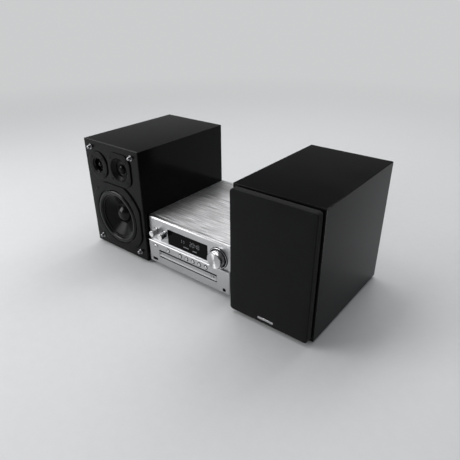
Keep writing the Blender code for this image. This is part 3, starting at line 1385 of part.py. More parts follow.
def build_grille(unit, hand):
    """A frame whose four sockets push on to the baffle's posts, and the cloth across its front."""
    cloth_back = -GRILLE_PROUD + GRILLE_CLOTH_T
    front, back = cloth_back + SEAT_GAP, -GRILLE_STAND
    mid = (0, CABINET_MID)
    outline = rounded(GRILLE_W, GRILLE_H, GRILLE_CORNER, mid)
    opening = rounded(GRILLE_W - 2 * GRILLE_RAIL, GRILLE_H - 2 * GRILLE_RAIL, GRILLE_CORNER, mid)
    rails = cut(prism("Y", outline, front, back), prism("Y", opening, front - CUT_OVER, back + CUT_OVER))
    bar_z = (WOOFER_Z + WOOFER_HALF_H + TWEETER_Z - TWEETER_SIDE / 2) / 2
    bar = box(
        (-GRILLE_W / 2 + GRILLE_RAIL - JOIN, front, bar_z - GRILLE_BAR_W / 2),
        (GRILLE_W / 2 - GRILLE_RAIL + JOIN, front + GRILLE_BAR_T, bar_z + GRILLE_BAR_W / 2),
    )
    spots = [(side * POST_X, z) for side in (-1, 1) for z in POST_ZS]
    socket_r = POST_HEAD_R + SEAT_GAP
    bosses = [rod(socket_r + SOCKET_WALL, "Y", spot, front + SEAT_GAP, back) for spot in spots]
    sockets = [rod(socket_r, "Y", spot, -POST_REACH - SEAT_GAP, back + CUT_OVER) for spot in spots]
    part(f"grille_frame_{hand}", cut(join(rails, bar, *bosses), *sockets), unit, SATIN_BLACK)
    inner = rounded(GRILLE_W - 2 * GRILLE_EDGE, GRILLE_H - 2 * GRILLE_EDGE, GRILLE_CORNER - GRILLE_EDGE, mid)
    cloth = stack("Y", (-GRILLE_PROUD, inner), (cloth_back, outline))
    part(f"grille_cloth_{hand}", cloth, unit, CLOTH)


def build_speaker(hand, x, ahead, mirror):
    unit = place(f"speaker_{hand}_place", x, -ahead - ORIGIN_Y)
    build_cabinet(unit, hand)
    build_baffle(unit, hand, mirror)
    build_woofer(unit, hand)
    build_tweeters(unit, hand, mirror)
    build_terminal_cup(unit, hand)
    return unit


main_unit = place("main_unit_place", UNIT_X, -ORIGIN_Y)
build_housing(main_unit)
build_front_panel(main_unit)
build_display(main_unit)
build_knobs(main_unit)
build_buttons(main_unit)
build_front_board(main_unit)
build_tray(main_unit)
build_loader(main_unit)
build_inside(main_unit)
build_rear(main_unit)
build_front_sockets(main_unit)
build_speaker("left", LEFT_X, LEFT_AHEAD, 1)
build_grille(build_speaker("right", RIGHT_X, RIGHT_AHEAD, -1), "right")
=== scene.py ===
"""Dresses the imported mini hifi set: fine-turned pieces over its solids, finishes, floor, light and camera.

The frame is in metres, +Z up, with the fronts towards -Y. Sizes are in millimetres, and MM scales them where
a surface is made. A turned piece's profile is rows of (reach, depth): how far out from its axis, and how far
along that axis from the face that it sits on.
"""
import json
from math import cos, pi, radians, sin

import bmesh
import bpy
import numpy as np
from mathutils import Matrix, Vector

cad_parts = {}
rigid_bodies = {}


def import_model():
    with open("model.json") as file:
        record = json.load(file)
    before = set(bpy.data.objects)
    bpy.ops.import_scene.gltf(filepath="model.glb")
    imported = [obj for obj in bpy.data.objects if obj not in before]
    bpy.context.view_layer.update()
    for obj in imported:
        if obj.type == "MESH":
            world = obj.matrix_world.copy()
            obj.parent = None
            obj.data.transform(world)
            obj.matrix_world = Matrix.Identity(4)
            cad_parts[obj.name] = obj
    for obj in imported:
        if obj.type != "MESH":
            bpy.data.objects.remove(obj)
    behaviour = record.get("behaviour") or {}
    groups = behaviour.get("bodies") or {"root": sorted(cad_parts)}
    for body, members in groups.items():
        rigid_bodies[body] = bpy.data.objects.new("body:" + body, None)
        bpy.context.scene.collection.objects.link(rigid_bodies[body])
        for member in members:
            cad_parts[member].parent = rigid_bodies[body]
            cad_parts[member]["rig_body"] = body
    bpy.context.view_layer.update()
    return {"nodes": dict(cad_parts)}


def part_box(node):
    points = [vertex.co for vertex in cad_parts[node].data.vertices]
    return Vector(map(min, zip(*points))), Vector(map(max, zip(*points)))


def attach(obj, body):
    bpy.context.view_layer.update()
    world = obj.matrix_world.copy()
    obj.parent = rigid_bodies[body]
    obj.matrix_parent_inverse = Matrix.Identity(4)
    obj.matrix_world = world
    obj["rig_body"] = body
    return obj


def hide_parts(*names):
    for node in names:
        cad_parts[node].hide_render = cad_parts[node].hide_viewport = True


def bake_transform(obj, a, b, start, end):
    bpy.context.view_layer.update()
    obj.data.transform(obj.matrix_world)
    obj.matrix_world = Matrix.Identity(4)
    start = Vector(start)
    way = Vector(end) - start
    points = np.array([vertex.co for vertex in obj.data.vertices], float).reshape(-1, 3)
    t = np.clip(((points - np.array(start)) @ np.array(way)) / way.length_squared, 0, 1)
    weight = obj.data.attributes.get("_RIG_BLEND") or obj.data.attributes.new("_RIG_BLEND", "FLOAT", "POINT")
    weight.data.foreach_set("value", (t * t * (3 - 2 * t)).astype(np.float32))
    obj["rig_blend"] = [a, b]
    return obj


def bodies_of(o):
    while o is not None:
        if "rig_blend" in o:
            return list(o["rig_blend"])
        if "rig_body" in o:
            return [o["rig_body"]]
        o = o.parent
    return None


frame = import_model()
solids = frame["nodes"]
scene = bpy.context.scene
MM = 0.001                  # a millimetre in the frame's metres
TINY = 1e-9                 # stands in for nothing where a value divides
CRISP = 36                  # degrees past which an edge stays sharp
HANDS = ("left", "right")
STANDING = "hifi_set"       # the body of all that keeps its place


# Where the solids are

def body_of(node):
    """The moving body that a solid rides on."""
    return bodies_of(solids[node])[0]


def corners(node):
    """The low and the high corner of a solid's box, in millimetres."""
    return np.array(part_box(node)) / MM


def middle(node):
    """The middle of a solid's box, in millimetres."""
    return corners(node).mean(axis=0)


def front_of(node):
    """The foremost depth of a solid, in millimetres."""
    return corners(node)[0, 1]


def back_of(node):
    """The rearmost depth of a solid, in millimetres."""
    return corners(node)[1, 1]


def four_about(centre, half_w, half_h, proud=0.0):
    """The corners of an upright rectangle about a centre, in front of it by proud."""
    x, y, z = centre
    return [(x + across, y - proud, z + up) for across in (-half_w, half_w) for up in (-half_h, half_h)]


# Outlines: how far a shape reaches at each bearing from its middle

def bearings(sides, start=0.0, end=2 * pi):
    """Bearings from start to end, clockwise from straight up; once round, the last repeats the first."""
    return np.linspace(start, end, sides + 1)


def slant(turn):
    """How far across and how far up a ray goes at each bearing: |sin| and |cos|, never quite nothing."""
    return np.maximum(np.abs(np.sin(turn)), TINY), np.maximum(np.abs(np.cos(turn)), TINY)


def flatted_circle(turn, radius, half_w, half_h):
    """A circle with four flats: the least of the radius, half_w / |sin| and half_h / |cos|."""
    across, up = slant(turn)
    return np.minimum(radius, np.minimum(half_w / across, half_h / up))


def corner_bearings(half_w, half_h, corner, sides, steps=8):
    """Even bearings once round, with steps more across each round corner of a rectangle: from the bearing
    where its top flat ends to the one where its side flat starts."""
    near = np.linspace(np.arctan2(half_w - corner, half_h), np.arctan2(half_w, half_h - corner), steps)
    return np.unique(np.concatenate((bearings(sides), near, pi - near, pi + near, 2 * pi - near)))


def round_cornered(turn, half_w, half_h, corner):
    """A rectangle with round corners: the ray's length to the flat it meets, or to the corner's circle."""
    across, up = slant(turn)
    flat = np.minimum(half_w / across, half_h / up)
    in_w, in_h = half_w - corner, half_h - corner
    along = across * in_w + up * in_h
    bend = along + np.sqrt(np.maximum(along**2 - in_w**2 - in_h**2 + corner**2, 0))
    return np.where((flat * across > in_w) & (flat * up > in_h), bend, flat)


def ribbed(turn, radius, ribs, depth):
    """A circle with a wave of ribs on it: radius + depth cos(ribs x bearing)."""
    return radius + depth * np.cos(ribs * turn)


# Profiles of turned pieces

def profile(*rows, sides=96):
    """Rows of (reach, depth) as an array rows x bearings x 2; a reach may vary with the bearing."""
    turn = np.zeros(sides + 1)
    return np.stack([np.stack((reach + turn, depth + turn), -1) for reach, depth in rows])


def arc(reach, depth, half_w, half_d, start, end, steps):
    """Rows along an ellipse: out to reach + half_w sin(t), at depth - half_d cos(t), t from start to end."""
    t = np.linspace(start, end, steps)
    return np.stack((reach + half_w * np.sin(t), depth - half_d * np.cos(t)), -1)


def eased(rows, radius, steps=3, closed=False, most=0.45):
    """Rounds a profile: each corner P is cut back along its two legs to A and B, by the radius or by the most
    that the shorter leg allows, and bridged by the parabola (1-t)^2 A + 2t(1-t) P + t^2 B."""
    to_last, to_next = np.roll(rows, 1, 0) - rows, np.roll(rows, -1, 0) - rows
    last_leg = np.maximum(np.linalg.norm(to_last, axis=-1, keepdims=True), TINY)
    next_leg = np.maximum(np.linalg.norm(to_next, axis=-1, keepdims=True), TINY)
    cut = np.minimum(radius, most * np.minimum(last_leg, next_leg))
    a, b = rows + to_last / last_leg * cut, rows + to_next / next_leg * cut
    t = np.linspace(0, 1, steps + 1)[None, :, None, None]
    bends = (1 - t) ** 2 * a[:, None] + 2 * t * (1 - t) * rows[:, None] + t**2 * b[:, None]
    if closed:
        loop = bends.reshape(-1, *rows.shape[1:])
        return np.concatenate((loop, loop[:1]))
    return np.concatenate((rows[:1], bends[1:-1].reshape(-1, *rows.shape[1:]), rows[-1:]))


# Surfaces: grids of points with a map (u round the piece, v along its profile in metres)

def carried(rows, centre, axis="y", turn=None):
    """A profile carried round an axis: across = reach sin(bearing), up = reach cos(bearing), and depth
    along the axis, all from the centre. The bearings are even ones, once round, unless they are given."""
    turn = bearings(rows.shape[1] - 1) if turn is None else turn
    reach, depth = rows[..., 0], rows[..., 1]
    across, up = reach * np.sin(turn), reach * np.cos(turn)
    spots = np.stack((across, depth, up) if axis == "y" else (across, up, depth), -1) + np.asarray(centre)
    lengths = np.linalg.norm(np.diff(rows, axis=0), axis=-1).mean(axis=1)
    along = np.concatenate(([0], np.cumsum(lengths))) * MM
    lay = np.stack(np.broadcast_arrays(turn / (2 * pi), along[:, None]), -1)
    return spots * MM, lay


def slab(outline, front, back):
    """A thin plate: middle, outline, outline and middle again, first at the front depth, then at the back."""
    outline = np.concatenate((outline, outline[:1]))
    core = np.broadcast_to(outline[:-1].mean(axis=0), outline.shape)
    rings = (core, front), (outline, front), (outline, back), (core, back)
    spots = np.stack([np.insert(flat, 1, depth, axis=1) for flat, depth in rings])
    return spots * MM, spots[..., (0, 2)] * MM


def drawn(section, left, right, edge):
    """A section of (depth, height) drawn out across: its points at both ends and just inside them, where the
    ends are pulled in towards the section's middle by the edge, and closed at that middle."""
    middle_spot = section[:-1].mean(axis=0)
    away = section - middle_spot
    inner = middle_spot + away * (1 - edge / np.linalg.norm(away, axis=1, keepdims=True))
    core = np.broadcast_to(middle_spot, section.shape)
    rings = ((core, left), (inner, left), (section, left + edge),
             (section, right - edge), (inner, right), (core, right))
    spots = np.stack([np.insert(ring, 0, across, axis=1) for ring, across in rings])
    return spots * MM, spots[..., (0, 2)] * MM


def strip(first, second):
    """The grid between two lines of points, with a blank map."""
    spots = np.stack((first, second))
    return spots, np.zeros((*spots.shape[:2], 2))


# Pieces made of surfaces

def settle(name, mesh, body, coat, covers=(), crisp=CRISP, joins_flats=False):
    """Merges a mesh's doubles, then turns its faces outward, or joins its flats where they already point
    outward, smooths all but crisp edges and seats it on its body."""
    doubles, level = 2e-6, radians(0.05)
    work = bmesh.new()
    work.from_mesh(mesh)
    bmesh.ops.remove_doubles(work, verts=work.verts, dist=doubles)
    if joins_flats:
        bmesh.ops.dissolve_limit(work, angle_limit=level, verts=work.verts, edges=work.edges)
    else:
        bmesh.ops.recalc_face_normals(work, faces=work.faces)
    work.to_mesh(mesh)
    work.free()
    mesh.materials.clear()
    mesh.materials.append(coat)
    mesh.shade_smooth()
    mesh.set_sharp_from_angle(angle=radians(crisp))
    thing = bpy.data.objects.new(name, mesh)
    scene.collection.objects.link(thing)
    if body:
        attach(thing, body)
    if covers:
        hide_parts(*covers)
    return thing


def piece(name, body, coat, surfaces, covers=(), crisp=CRISP):
    """Joins grids into one mesh: quads between neighbouring points, doubles merged, faces outward."""
    spots, quads, lays, first = [], [], [], 0
    for points, lay in surfaces:
        rows, columns = points.shape[:2]
        i = first + np.arange(rows * columns).reshape(rows, columns)
        quads.append(np.stack((i[:-1, :-1], i[:-1, 1:], i[1:, 1:], i[1:, :-1]), -1).reshape(-1, 4))
        spots.append(points.reshape(-1, 3))
        lays.append(lay.reshape(-1, 2))
        first += rows * columns
    quads = np.concatenate(quads)
    mesh = bpy.data.meshes.new(name)
    mesh.from_pydata(np.concatenate(spots).tolist(), [], quads.tolist())
    lay_map = mesh.uv_layers.new(name="lay")
    lay_map.data.foreach_set("uv", np.concatenate(lays)[quads.ravel()].ravel())
    return settle(name, mesh, body, coat, covers, crisp)


def turned(name, coat, slot, rows, *centres, ease=0.0, closed=False, body=STANDING, covers=(), axis="y"):
    """A piece made of one profile, with its corners eased, carried round each of the centres."""
    if ease:
        rows = eased(rows, ease, closed=closed)
    return piece(name, body, coat, [carried(rows, centre, axis) for centre in centres], covers)


def plates(name, coat, outlines, front, back, body=STANDING):
    """A piece made of thin plates between two depths, one for each outline."""
    return piece(name, body, coat, [slab(outline, front, back) for outline in outlines])


def smoothed(node, coat, crisp):
    """A copy of a solid with its triangles joined, so that its rolled edges shade as curves."""
    mesh = solids[node].data.copy()
    thing = settle(f"{node}_skin", mesh, body_of(node), coat, (node,), crisp, joins_flats=True)
    weigh = thing.modifiers.new("even_flats", "WEIGHTED_NORMAL")
    weigh.keep_sharp = True
    return thing


# How finishes are made

def add(tree, kind, inputs=None, **settings):
    """One shader node with its settings and its unlinked inputs."""
    made = tree.nodes.new(f"ShaderNode{kind}")
    for key, value in settings.items():
        setattr(made, key, value)
    for key, value in (inputs or {}).items():
        made.inputs[key].default_value = value
    return made


def shell(name, colour, rough, metal=0.0, **sockets):
    """A new material's tree and its Principled shader, with the values that hold all over it."""
    material = bpy.data.materials.new(name)
    material.use_nodes = True
    shader = material.node_tree.nodes["Principled BSDF"]
    shader.inputs["Base Color"].default_value = (*colour, 1)
    shader.inputs["Roughness"].default_value = rough
    shader.inputs["Metallic"].default_value = metal
    for key, value in sockets.items():
        shader.inputs[key.replace("_", " ")].default_value = value
    return material, material.node_tree, shader


def tint(tree, shader, level, dark, light):
    """Colours a shader from dark to light with a level; a mix's two colours are its inputs 6 and 7."""
    mix = add(tree, "Mix", {6: (*dark, 1), 7: (*light, 1)}, data_type="RGBA")
    tree.links.new(level.outputs[0], mix.inputs[0])
    tree.links.new(mix.outputs[2], shader.inputs["Base Color"])


def raise_up(tree, shader, height, strength, distance):
    """Bumps a shader by a height, at most distance millimetres."""
    raised = add(tree, "Bump", {"Strength": strength, "Distance": distance * MM})
    tree.links.new(height, raised.inputs["Height"])
    tree.links.new(raised.outputs["Normal"], shader.inputs["Normal"])


def finish(name, colour, rough, metal=0.0, grain=700, over="Object", spread=0.15, rough_play=0.05,
           relief=0.0, detail=3.0, cloud=10.0, cloud_share=0.3, brush=None, **sockets):
    """A finish with a fine grain and a slow clouding, which together shift its colour and roughness; the
    grain also stands relief millimetres proud. The grain is one scale, or three where it is drawn out, and
    brush is the way its polish lines spread the light."""
    material, tree, shader = shell(name, colour, rough, metal, **sockets)
    wire = tree.links.new
    where = add(tree, "TexCoord")
    scaled = add(tree, "Mapping", {"Scale": grain if isinstance(grain, tuple) else (grain,) * 3})
    wire(where.outputs[over], scaled.inputs["Vector"])
    fine = add(tree, "TexNoise", {"Scale": 1.0, "Detail": detail, "Roughness": 0.6})
    wire(scaled.outputs["Vector"], fine.inputs["Vector"])
    slow = add(tree, "TexNoise", {"Scale": cloud, "Detail": 2.0})
    wire(where.outputs["Object"], slow.inputs["Vector"])
    share = add(tree, "Math", {1: cloud_share}, operation="MULTIPLY")
    wire(slow.outputs["Fac"], share.inputs[0])
    both = add(tree, "Math", {1: 1 - cloud_share}, operation="MULTIPLY_ADD")
    wire(fine.outputs["Fac"], both.inputs[0])
    wire(share.outputs[0], both.inputs[2])
    level = add(tree, "MapRange", {"From Min": 0.33, "From Max": 0.67})
    wire(both.outputs[0], level.inputs["Value"])
    dark, light = ([part * shift for part in colour] for shift in (1 - spread, 1 + spread))
    tint(tree, shader, level, dark, light)
    smoothest = 0.02
    grit = add(tree, "MapRange", {"To Min": max(rough - rough_play, smoothest), "To Max": rough + rough_play})
    wire(level.outputs[0], grit.inputs["Value"])
    wire(grit.outputs[0], shader.inputs["Roughness"])
    if relief:
        raise_up(tree, shader, fine.outputs["Fac"], strength=0.7, distance=relief)
    if brush == "round":
        lines = add(tree, "Tangent", direction_type="UV_MAP", uv_map="lay")
        wire(lines.outputs[0], shader.inputs["Tangent"])
    elif brush:
        lines = add(tree, "CombineXYZ", dict(zip("XYZ", brush)))
        wire(lines.outputs[0], shader.inputs["Tangent"])
    return material


def weave(name, dark, light, pitch):
    """Plain-woven cloth: two waves of threads across each other, one on top in each square of a checker.
    At a scale of 1 a wave comes round every 2 pi / 20."""
    material, tree, shader = shell(name, light, rough=0.85, Specular_IOR_Level=0.12, Sheen_Weight=0.08,
                                   Sheen_Roughness=0.45)
    wire = tree.links.new
    where = add(tree, "TexCoord")
    thread = {"Scale": 2 * pi / 20 / pitch, "Distortion": 0.25, "Detail": 1.0, "Detail Scale": 0.4}
    threads = [add(tree, "TexWave", thread, bands_direction=way) for way in "XY"]
    squares = add(tree, "TexChecker", {"Scale": 1 / pitch, "Color1": (0, 0, 0, 1), "Color2": (1, 1, 1, 1)})
    for pattern in (*threads, squares):
        wire(where.outputs["UV"], pattern.inputs["Vector"])
    top = add(tree, "Mix", data_type="FLOAT")
    wire(squares.outputs["Fac"], top.inputs[0])
    wire(threads[0].outputs["Fac"], top.inputs[2])
    wire(threads[1].outputs["Fac"], top.inputs[3])
    slow = add(tree, "TexNoise", {"Scale": 14.0, "Detail": 3.0})
    wire(where.outputs["Object"], slow.inputs["Vector"])
    mottled = add(tree, "Math", operation="MULTIPLY")
    wire(top.outputs[0], mottled.inputs[0])
    wire(slow.outputs["Fac"], mottled.inputs[1])
    level = add(tree, "MapRange", {"From Max": 0.6})
    wire(mottled.outputs[0], level.inputs["Value"])
    tint(tree, shader, level, dark, light)
    raise_up(tree, shader, top.outputs[0], strength=0.6, distance=0.15)
    return material


# Finishes of the speakers

black_wrap = finish("black_wrap", (0.0045, 0.0045, 0.005), 0.15, grain=900, spread=0.3, relief=0.006,
                    Specular_IOR_Level=0.08)
black_baffle = finish("black_baffle", (0.0035, 0.0035, 0.004), 0.25, grain=(2600, 900, 45), spread=0.3,
                      rough_play=0.06, relief=0.006, detail=2.0, Specular_IOR_Level=0.1)
driver_plate = finish("driver_plate", (0.0045, 0.0045, 0.005), 0.32, grain=2200, spread=0.25,
                      rough_play=0.06, relief=0.02, Specular_IOR_Level=0.09)
roll_rubber = finish("roll_rubber", (0.004, 0.004, 0.0045), 0.2, grain=500, spread=0.3, relief=0.006,
                     Specular_IOR_Level=0.2)
cone_skin = finish("cone_skin", (0.0045, 0.0045, 0.005), 0.22, grain=(60, 900, 1), over="UV", spread=0.3,
                   relief=0.006, Specular_IOR_Level=0.08)
cap_gloss = finish("cap_gloss", (0.004, 0.004, 0.0044), 0.15, grain=300, spread=0.3, rough_play=0.04,
                   Specular_IOR_Level=0.2)
post_chrome = finish("post_chrome", (0.27, 0.27, 0.28), 0.11, 1.0, grain=400, spread=0.06, rough_play=0.03)
dome_silk = finish("dome_silk", (0.0022, 0.0022, 0.0024), 0.12, grain=900, spread=0.3, rough_play=0.03,
                   Specular_IOR_Level=0.08)
# The screws' own black, which also paints shade on their flat seats as though they were pits.
screw_black_and_pit_shade = finish("screw_black_and_pit_shade", (0.0015, 0.0015, 0.0016), 0.5, grain=1500, spread=0.3, rough_play=0.1,
                     Specular_IOR_Level=0.08)
grille_weave = weave("grille_weave", (0.0035, 0.0035, 0.004), (0.011, 0.0115, 0.012), pitch=0.9 * MM)

# Finishes of the main unit's top, front and controls

brushed_top = finish("brushed_top", (0.68, 0.68, 0.69), 0.51, 1.0, grain=(20, 820, 20), spread=0.46,
                     rough_play=0.18, relief=0.006, detail=4.0, cloud_share=0.1, brush=(0, 1, 0),
                     Anisotropic=0.58)
satin_silver = finish("satin_silver", (0.52, 0.52, 0.53), 0.34, 1.0, grain=1800, spread=0.07, relief=0.008)
bright_chrome = finish("bright_chrome", (0.62, 0.62, 0.64), 0.09, 1.0, grain=400, spread=0.05,
                       rough_play=0.03)
spun_face = finish("spun_face", (0.66, 0.66, 0.67), 0.46, 1.0, grain=(5, 4200, 1), over="UV", spread=0.12,
                   rough_play=0.06, relief=0.004, brush="round", Anisotropic=0.95, Anisotropic_Rotation=0.25)
satin_edge = finish("satin_edge", (0.68, 0.68, 0.69), 0.24, 1.0, grain=(5, 3000, 1), over="UV", spread=0.10,
                    rough_play=0.06, brush="round", Anisotropic=0.5, Anisotropic_Rotation=0.25)
tone_face = finish("tone_face", (0.9, 0.9, 0.91), 0.3, 1.0, grain=(5, 3000, 1), over="UV", spread=0.05)
grip_metal = finish("grip_metal", (0.42, 0.42, 0.43), 0.17, 1.0, grain=(5, 3000, 1), over="UV", spread=0.10)
window_gloss = finish("window_gloss", (0.0018, 0.0018, 0.002), 0.07, grain=200, spread=0.2, rough_play=0.02,
                      Specular_IOR_Level=0.06)
digit_grey = finish("digit_grey", (0.26, 0.27, 0.28), 0.4, grain=3000, spread=0.12)
print_grey = finish("print_grey", (0.02, 0.02, 0.022), 0.5, grain=4000, spread=0.2)
# Painted shade: a near-black, nearly matt finish for the slot's walls, the rings in the gaps round knobs and
# buttons, the phones rim and the headphone jack, so that gaps and holes read dark.
painted_shade_black = finish("painted_shade_black", (0.002, 0.002, 0.0022), 0.6, grain=1600, spread=0.3, rough_play=0.08,
                   Specular_IOR_Level=0.06)

# Finishes of casings, boards, sockets and feet

black_plastic = finish("black_plastic", (0.012, 0.012, 0.013), 0.42, grain=1600, spread=0.3, rough_play=0.08,
                       relief=0.02, Specular_IOR_Level=0.4)
grey_plastic = finish("grey_plastic", (0.028, 0.029, 0.030), 0.45, grain=1500, spread=0.2, rough_play=0.07,
                      relief=0.02)
foot_rubber = finish("foot_rubber", (0.012, 0.012, 0.012), 0.7, grain=1300, spread=0.3, relief=0.04)
plain_steel = finish("plain_steel", (0.52, 0.53, 0.54), 0.36, 1.0, grain=(40, 40, 700), spread=0.10,
                     rough_play=0.07, cloud=25.0)
side_silver = finish("side_silver", (0.60, 0.60, 0.61), 0.36, 0.9, grain=1400, spread=0.08, rough_play=0.06,
                     relief=0.012)
fin_metal = finish("fin_metal", (0.55, 0.55, 0.57), 0.38, 1.0, grain=(300, 300, 30), spread=0.12,
                   rough_play=0.07)
board_green = finish("board_green", (0.020, 0.075, 0.035), 0.45, grain=260, spread=0.35, rough_play=0.1,
                     cloud=60.0, cloud_share=0.5)
wound_copper = finish("wound_copper", (0.42, 0.20, 0.09), 0.36, 0.8, grain=(60, 60, 1500), spread=0.3,
                      rough_play=0.1, relief=0.05)
post_red = finish("post_red", (0.36, 0.022, 0.020), 0.36, grain=1200, relief=0.01)
post_black = finish("post_black", (0.012, 0.012, 0.012), 0.36, grain=1200, spread=0.25, relief=0.01)
socket_white = finish("socket_white", (0.62, 0.62, 0.60), 0.42, grain=1200, spread=0.06, relief=0.01)


# Shapes that several units share

def screws(name, spots):
    """Low screw heads with six-sided sockets, each in a flat dark seat, painted shade that stands in for a
    pit: a dome's profile round a hexagon, whose outline reaches socket / cos(bearing from the middle of the
    nearest flat)."""
    socket, head, seat, seat_end, sides = 1.05, 1.9, 3.1, 0.6, 36
    sixth = pi / 3
    hexagon = socket / np.cos((bearings(sides) + sixth / 2) % sixth - sixth / 2)
    rows = profile((0, 0.35), (hexagon, 0.30), (hexagon, -0.28), (1.5, -0.3), (head, -0.05), (seat, -0.05),
                   (seat, seat_end), (0, seat_end), sides=sides)
    turned(name, screw_black_and_pit_shade, "driver_metal", rows, *spots)


def binding_post(start, end, *shank):
    """The profile of a binding post: its shank, then a ribbed grip from start to end with a hollow face."""
    bevel, hollow, sides = 0.85, 0.95, 144
    grip = ribbed(bearings(sides), radius=5.45, ribs=18, depth=0.16)
    rows = profile(*shank, (grip, start), (grip, end - bevel), (grip - 0.8, end), (2.2, end),
                   (1.9, end - hollow), (0, end - hollow), sides=sides)
    return eased(rows, 0.25)


def rubber_foot(sole, radius, bevel, height, sides):
    """The profile of a rubber foot: a flat sole, a bevel and a straight side."""
    return profile((0, 0), (sole, 0), (radius, bevel), (radius, height), (0, height), sides=sides)


def block(x, z, width, height):
    """The four corners of a rectangle about a middle."""
    return np.array((x, z)) + np.array([(-1, -1), (-1, 1), (1, 1), (1, -1)]) * np.array((width, height)) / 2


# Speakers: depths are taken from the baffle's board

STUD = 8.0          # length of the baffle's studs for the grille
PLATE = 2.8         # how far the drivers' plates stand out of the board
CUP_DEPTH = 12.0    # from the terminal cup's rim to its floor


def board_of(hand):
    """The depth of a baffle's board, behind its studs."""
    return front_of(f"baffle_{hand}") + STUD


def on_board(node, hand):
    """Where a driver sits: the middle of its solid, on the baffle's board."""
    x, _, z = middle(node)
    return x, board_of(hand), z


def woofer_trim(hand, centre):
    """The flatted trim ring over the basket's plate, and its four screws."""
    hole, proud, sides = 60.1, 2.95, 192
    edge = flatted_circle(bearings(sides), radius=77.65, half_w=72.15, half_h=70.65)
    rows = profile((hole, -0.45), (hole, -1.7), (hole + 1.5, -proud), (edge - 1.0, -proud), (edge, -2.0),
                   (edge, -0.1), sides=sides)
    turned(f"woofer_trim_{hand}", driver_plate, "driver_metal", rows, centre, ease=0.5, closed=True)
    screws(f"woofer_screws_{hand}", four_about(centre, half_w=52, half_h=53, proud=proud))


def woofer_cone(hand, centre):
    """The cone and its coil tube, turned from one closed profile: a bead round the neck, a front that lies at
    rim_depth + fall ((rim - reach) / (rim - neck))^1.04, and the way back behind it."""
    moving = f"woofer_cone_{hand}"
    rim, neck, tube = 47.2, 20.0, 13.0
    rim_depth, fall, neck_depth, tube_end = 1.8, 14.8, 17.0, 37.6
    bead = [(neck + 0.1, 16.5), (neck + 0.5, 15.75), (neck + 1.2, 15.65), (neck + 1.8, 15.8)]
    reach = np.linspace(neck + 2.6, rim, 12)
    sweep = zip(reach, rim_depth + fall * ((rim - reach) / (rim - neck)) ** 1.04)
    behind = [(rim, 3.0), (neck, 18.04), (tube, 19.0), (tube, tube_end), (tube - 1, tube_end),
              (tube - 1, neck_depth), (neck - 2, neck_depth)]
    rows = profile(*bead, *sweep, *behind, sides=128)
    turned(f"cone_body_{hand}", cone_skin, "cone_black", rows, centre, ease=0.25, closed=True, body=moving,
           covers=(moving,))
    dust_cap(hand, centre, neck)


def dust_cap(hand, centre, neck):
    """The cap over the cone's neck: a piece of a ball, whose radius is (neck^2 + bulge^2) / (2 bulge)."""
    top, wall, bulge, overlap, draw_in, steps = 4.6, 1.1, 12.0, 0.2, 0.98, 14
    ball = (neck**2 + bulge**2) / (2 * bulge)
    swing = np.arcsin((neck + overlap) / ball)
    over = arc(0, top + ball, ball, ball, 0, swing, steps)
    under = arc(0, top + wall + ball, draw_in * ball, ball, swing, 0, steps)
    turned(f"dust_cap_{hand}", cap_gloss, "dome_black", profile(*over, *under, sides=96), centre,
           body=f"woofer_cone_{hand}")


def woofer_roll(hand, centre):
    """The rubber roll: an arch from the basket's seat in to the cone's rim, cut into sectors, each of which
    bends from the one to the other."""
    moving = f"woofer_cone_{hand}"
    sectors, steps = 12, 16
    seat, crown, rim = 60.7, 53.2, 46.0
    half_w, height, thick = 5.4, 4.5, 1.1
    over, under = (
        np.array([(seat, in_by - 0.4), *arc(crown, in_by - 0.4, half_w - in_by, height, pi / 2, -pi / 2, 25),
                  (rim, in_by + 0.4)]) for in_by in (0, thick))
    loop = profile(*over, *under[::-1], over[0], sides=steps)
    held_at, led_at = 56.4, 48.9
    for i in range(sectors):
        start, halfway, end = 2 * pi / sectors * np.array((i, i + 0.5, i + 1))
        wall = carried(loop, centre, turn=bearings(steps, start, end))
        upper, lower = wall[0][:len(over)], wall[0][len(over):-1][::-1]
        lids = [strip(upper[:, column], lower[:, column]) for column in (0, -1)]
        roll = piece(f"roll_{hand}_{i}", None, roll_rubber, [wall, *lids],
                     (f"woofer_surround_{hand}",) if i == 0 else (), crisp=50)
        out = np.array((sin(halfway), 0, cos(halfway)))
        hold, follow = (tuple((np.array(centre) + out * reach) * MM) for reach in (held_at, led_at))
        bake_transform(roll, "hifi_set", moving, hold, follow)


def horn_tweeter(hand):
    """The horn's plate, flare and chamber as one turned shell, and its screws. Along the flare, with t from
    0 to 1, the reach is mouth - 7.4 t^1.1 and the depth -2.2 + 6.8 t^0.9."""
    node = f"tweeter_horn_{hand}"
    centre = on_board(node, hand)
    chamber, chamber_end, mouth, throat, seat, sides = 27, 30, 24.2, 16.6, 7.0, 128
    edge = round_cornered(bearings(sides), half_w=33, half_h=33, corner=20)
    t = np.linspace(0, 1, 10)
    flare = zip(mouth - 7.4 * t**1.1, -2.2 + 6.8 * t**0.9)
    rows = profile((0, chamber_end), (chamber, chamber_end), (chamber, -0.3), (edge, -0.3), (edge, -2.0),
                   (edge - 0.8, -PLATE), (mouth + 1.6, -PLATE), (mouth + 0.6, -2.65), *flare, (throat, 5.0),
                   (throat, seat), (0, seat), sides=sides)
    turned(f"horn_{hand}", driver_plate, "driver_plastic", rows, centre, ease=0.4, covers=(node,))
    screws(f"horn_screws_{hand}", four_about(centre, half_w=22.2, half_h=22, proud=PLATE))
    tweeter_dome(hand, centre)


def tweeter_dome(hand, centre):
    """The dome in the horn's throat: a quarter ellipse, a half one for its crimped edge, and a flat seat."""
    level, seat, seat_end = 5.9, 16.4, 6.8
    dome = arc(0, level, 9.5, 5.4, 0, pi / 2, 12)
    crimp = arc(12.3, level, 2.1, 1.0, -pi / 2, pi / 2, 9)
    rows = profile(*dome, *crimp, (seat, level), (seat, seat_end), (0, seat_end), sides=64)
    turned(f"dome_{hand}", dome_silk, "dome_black", rows, centre, covers=(f"tweeter_dome_{hand}",))


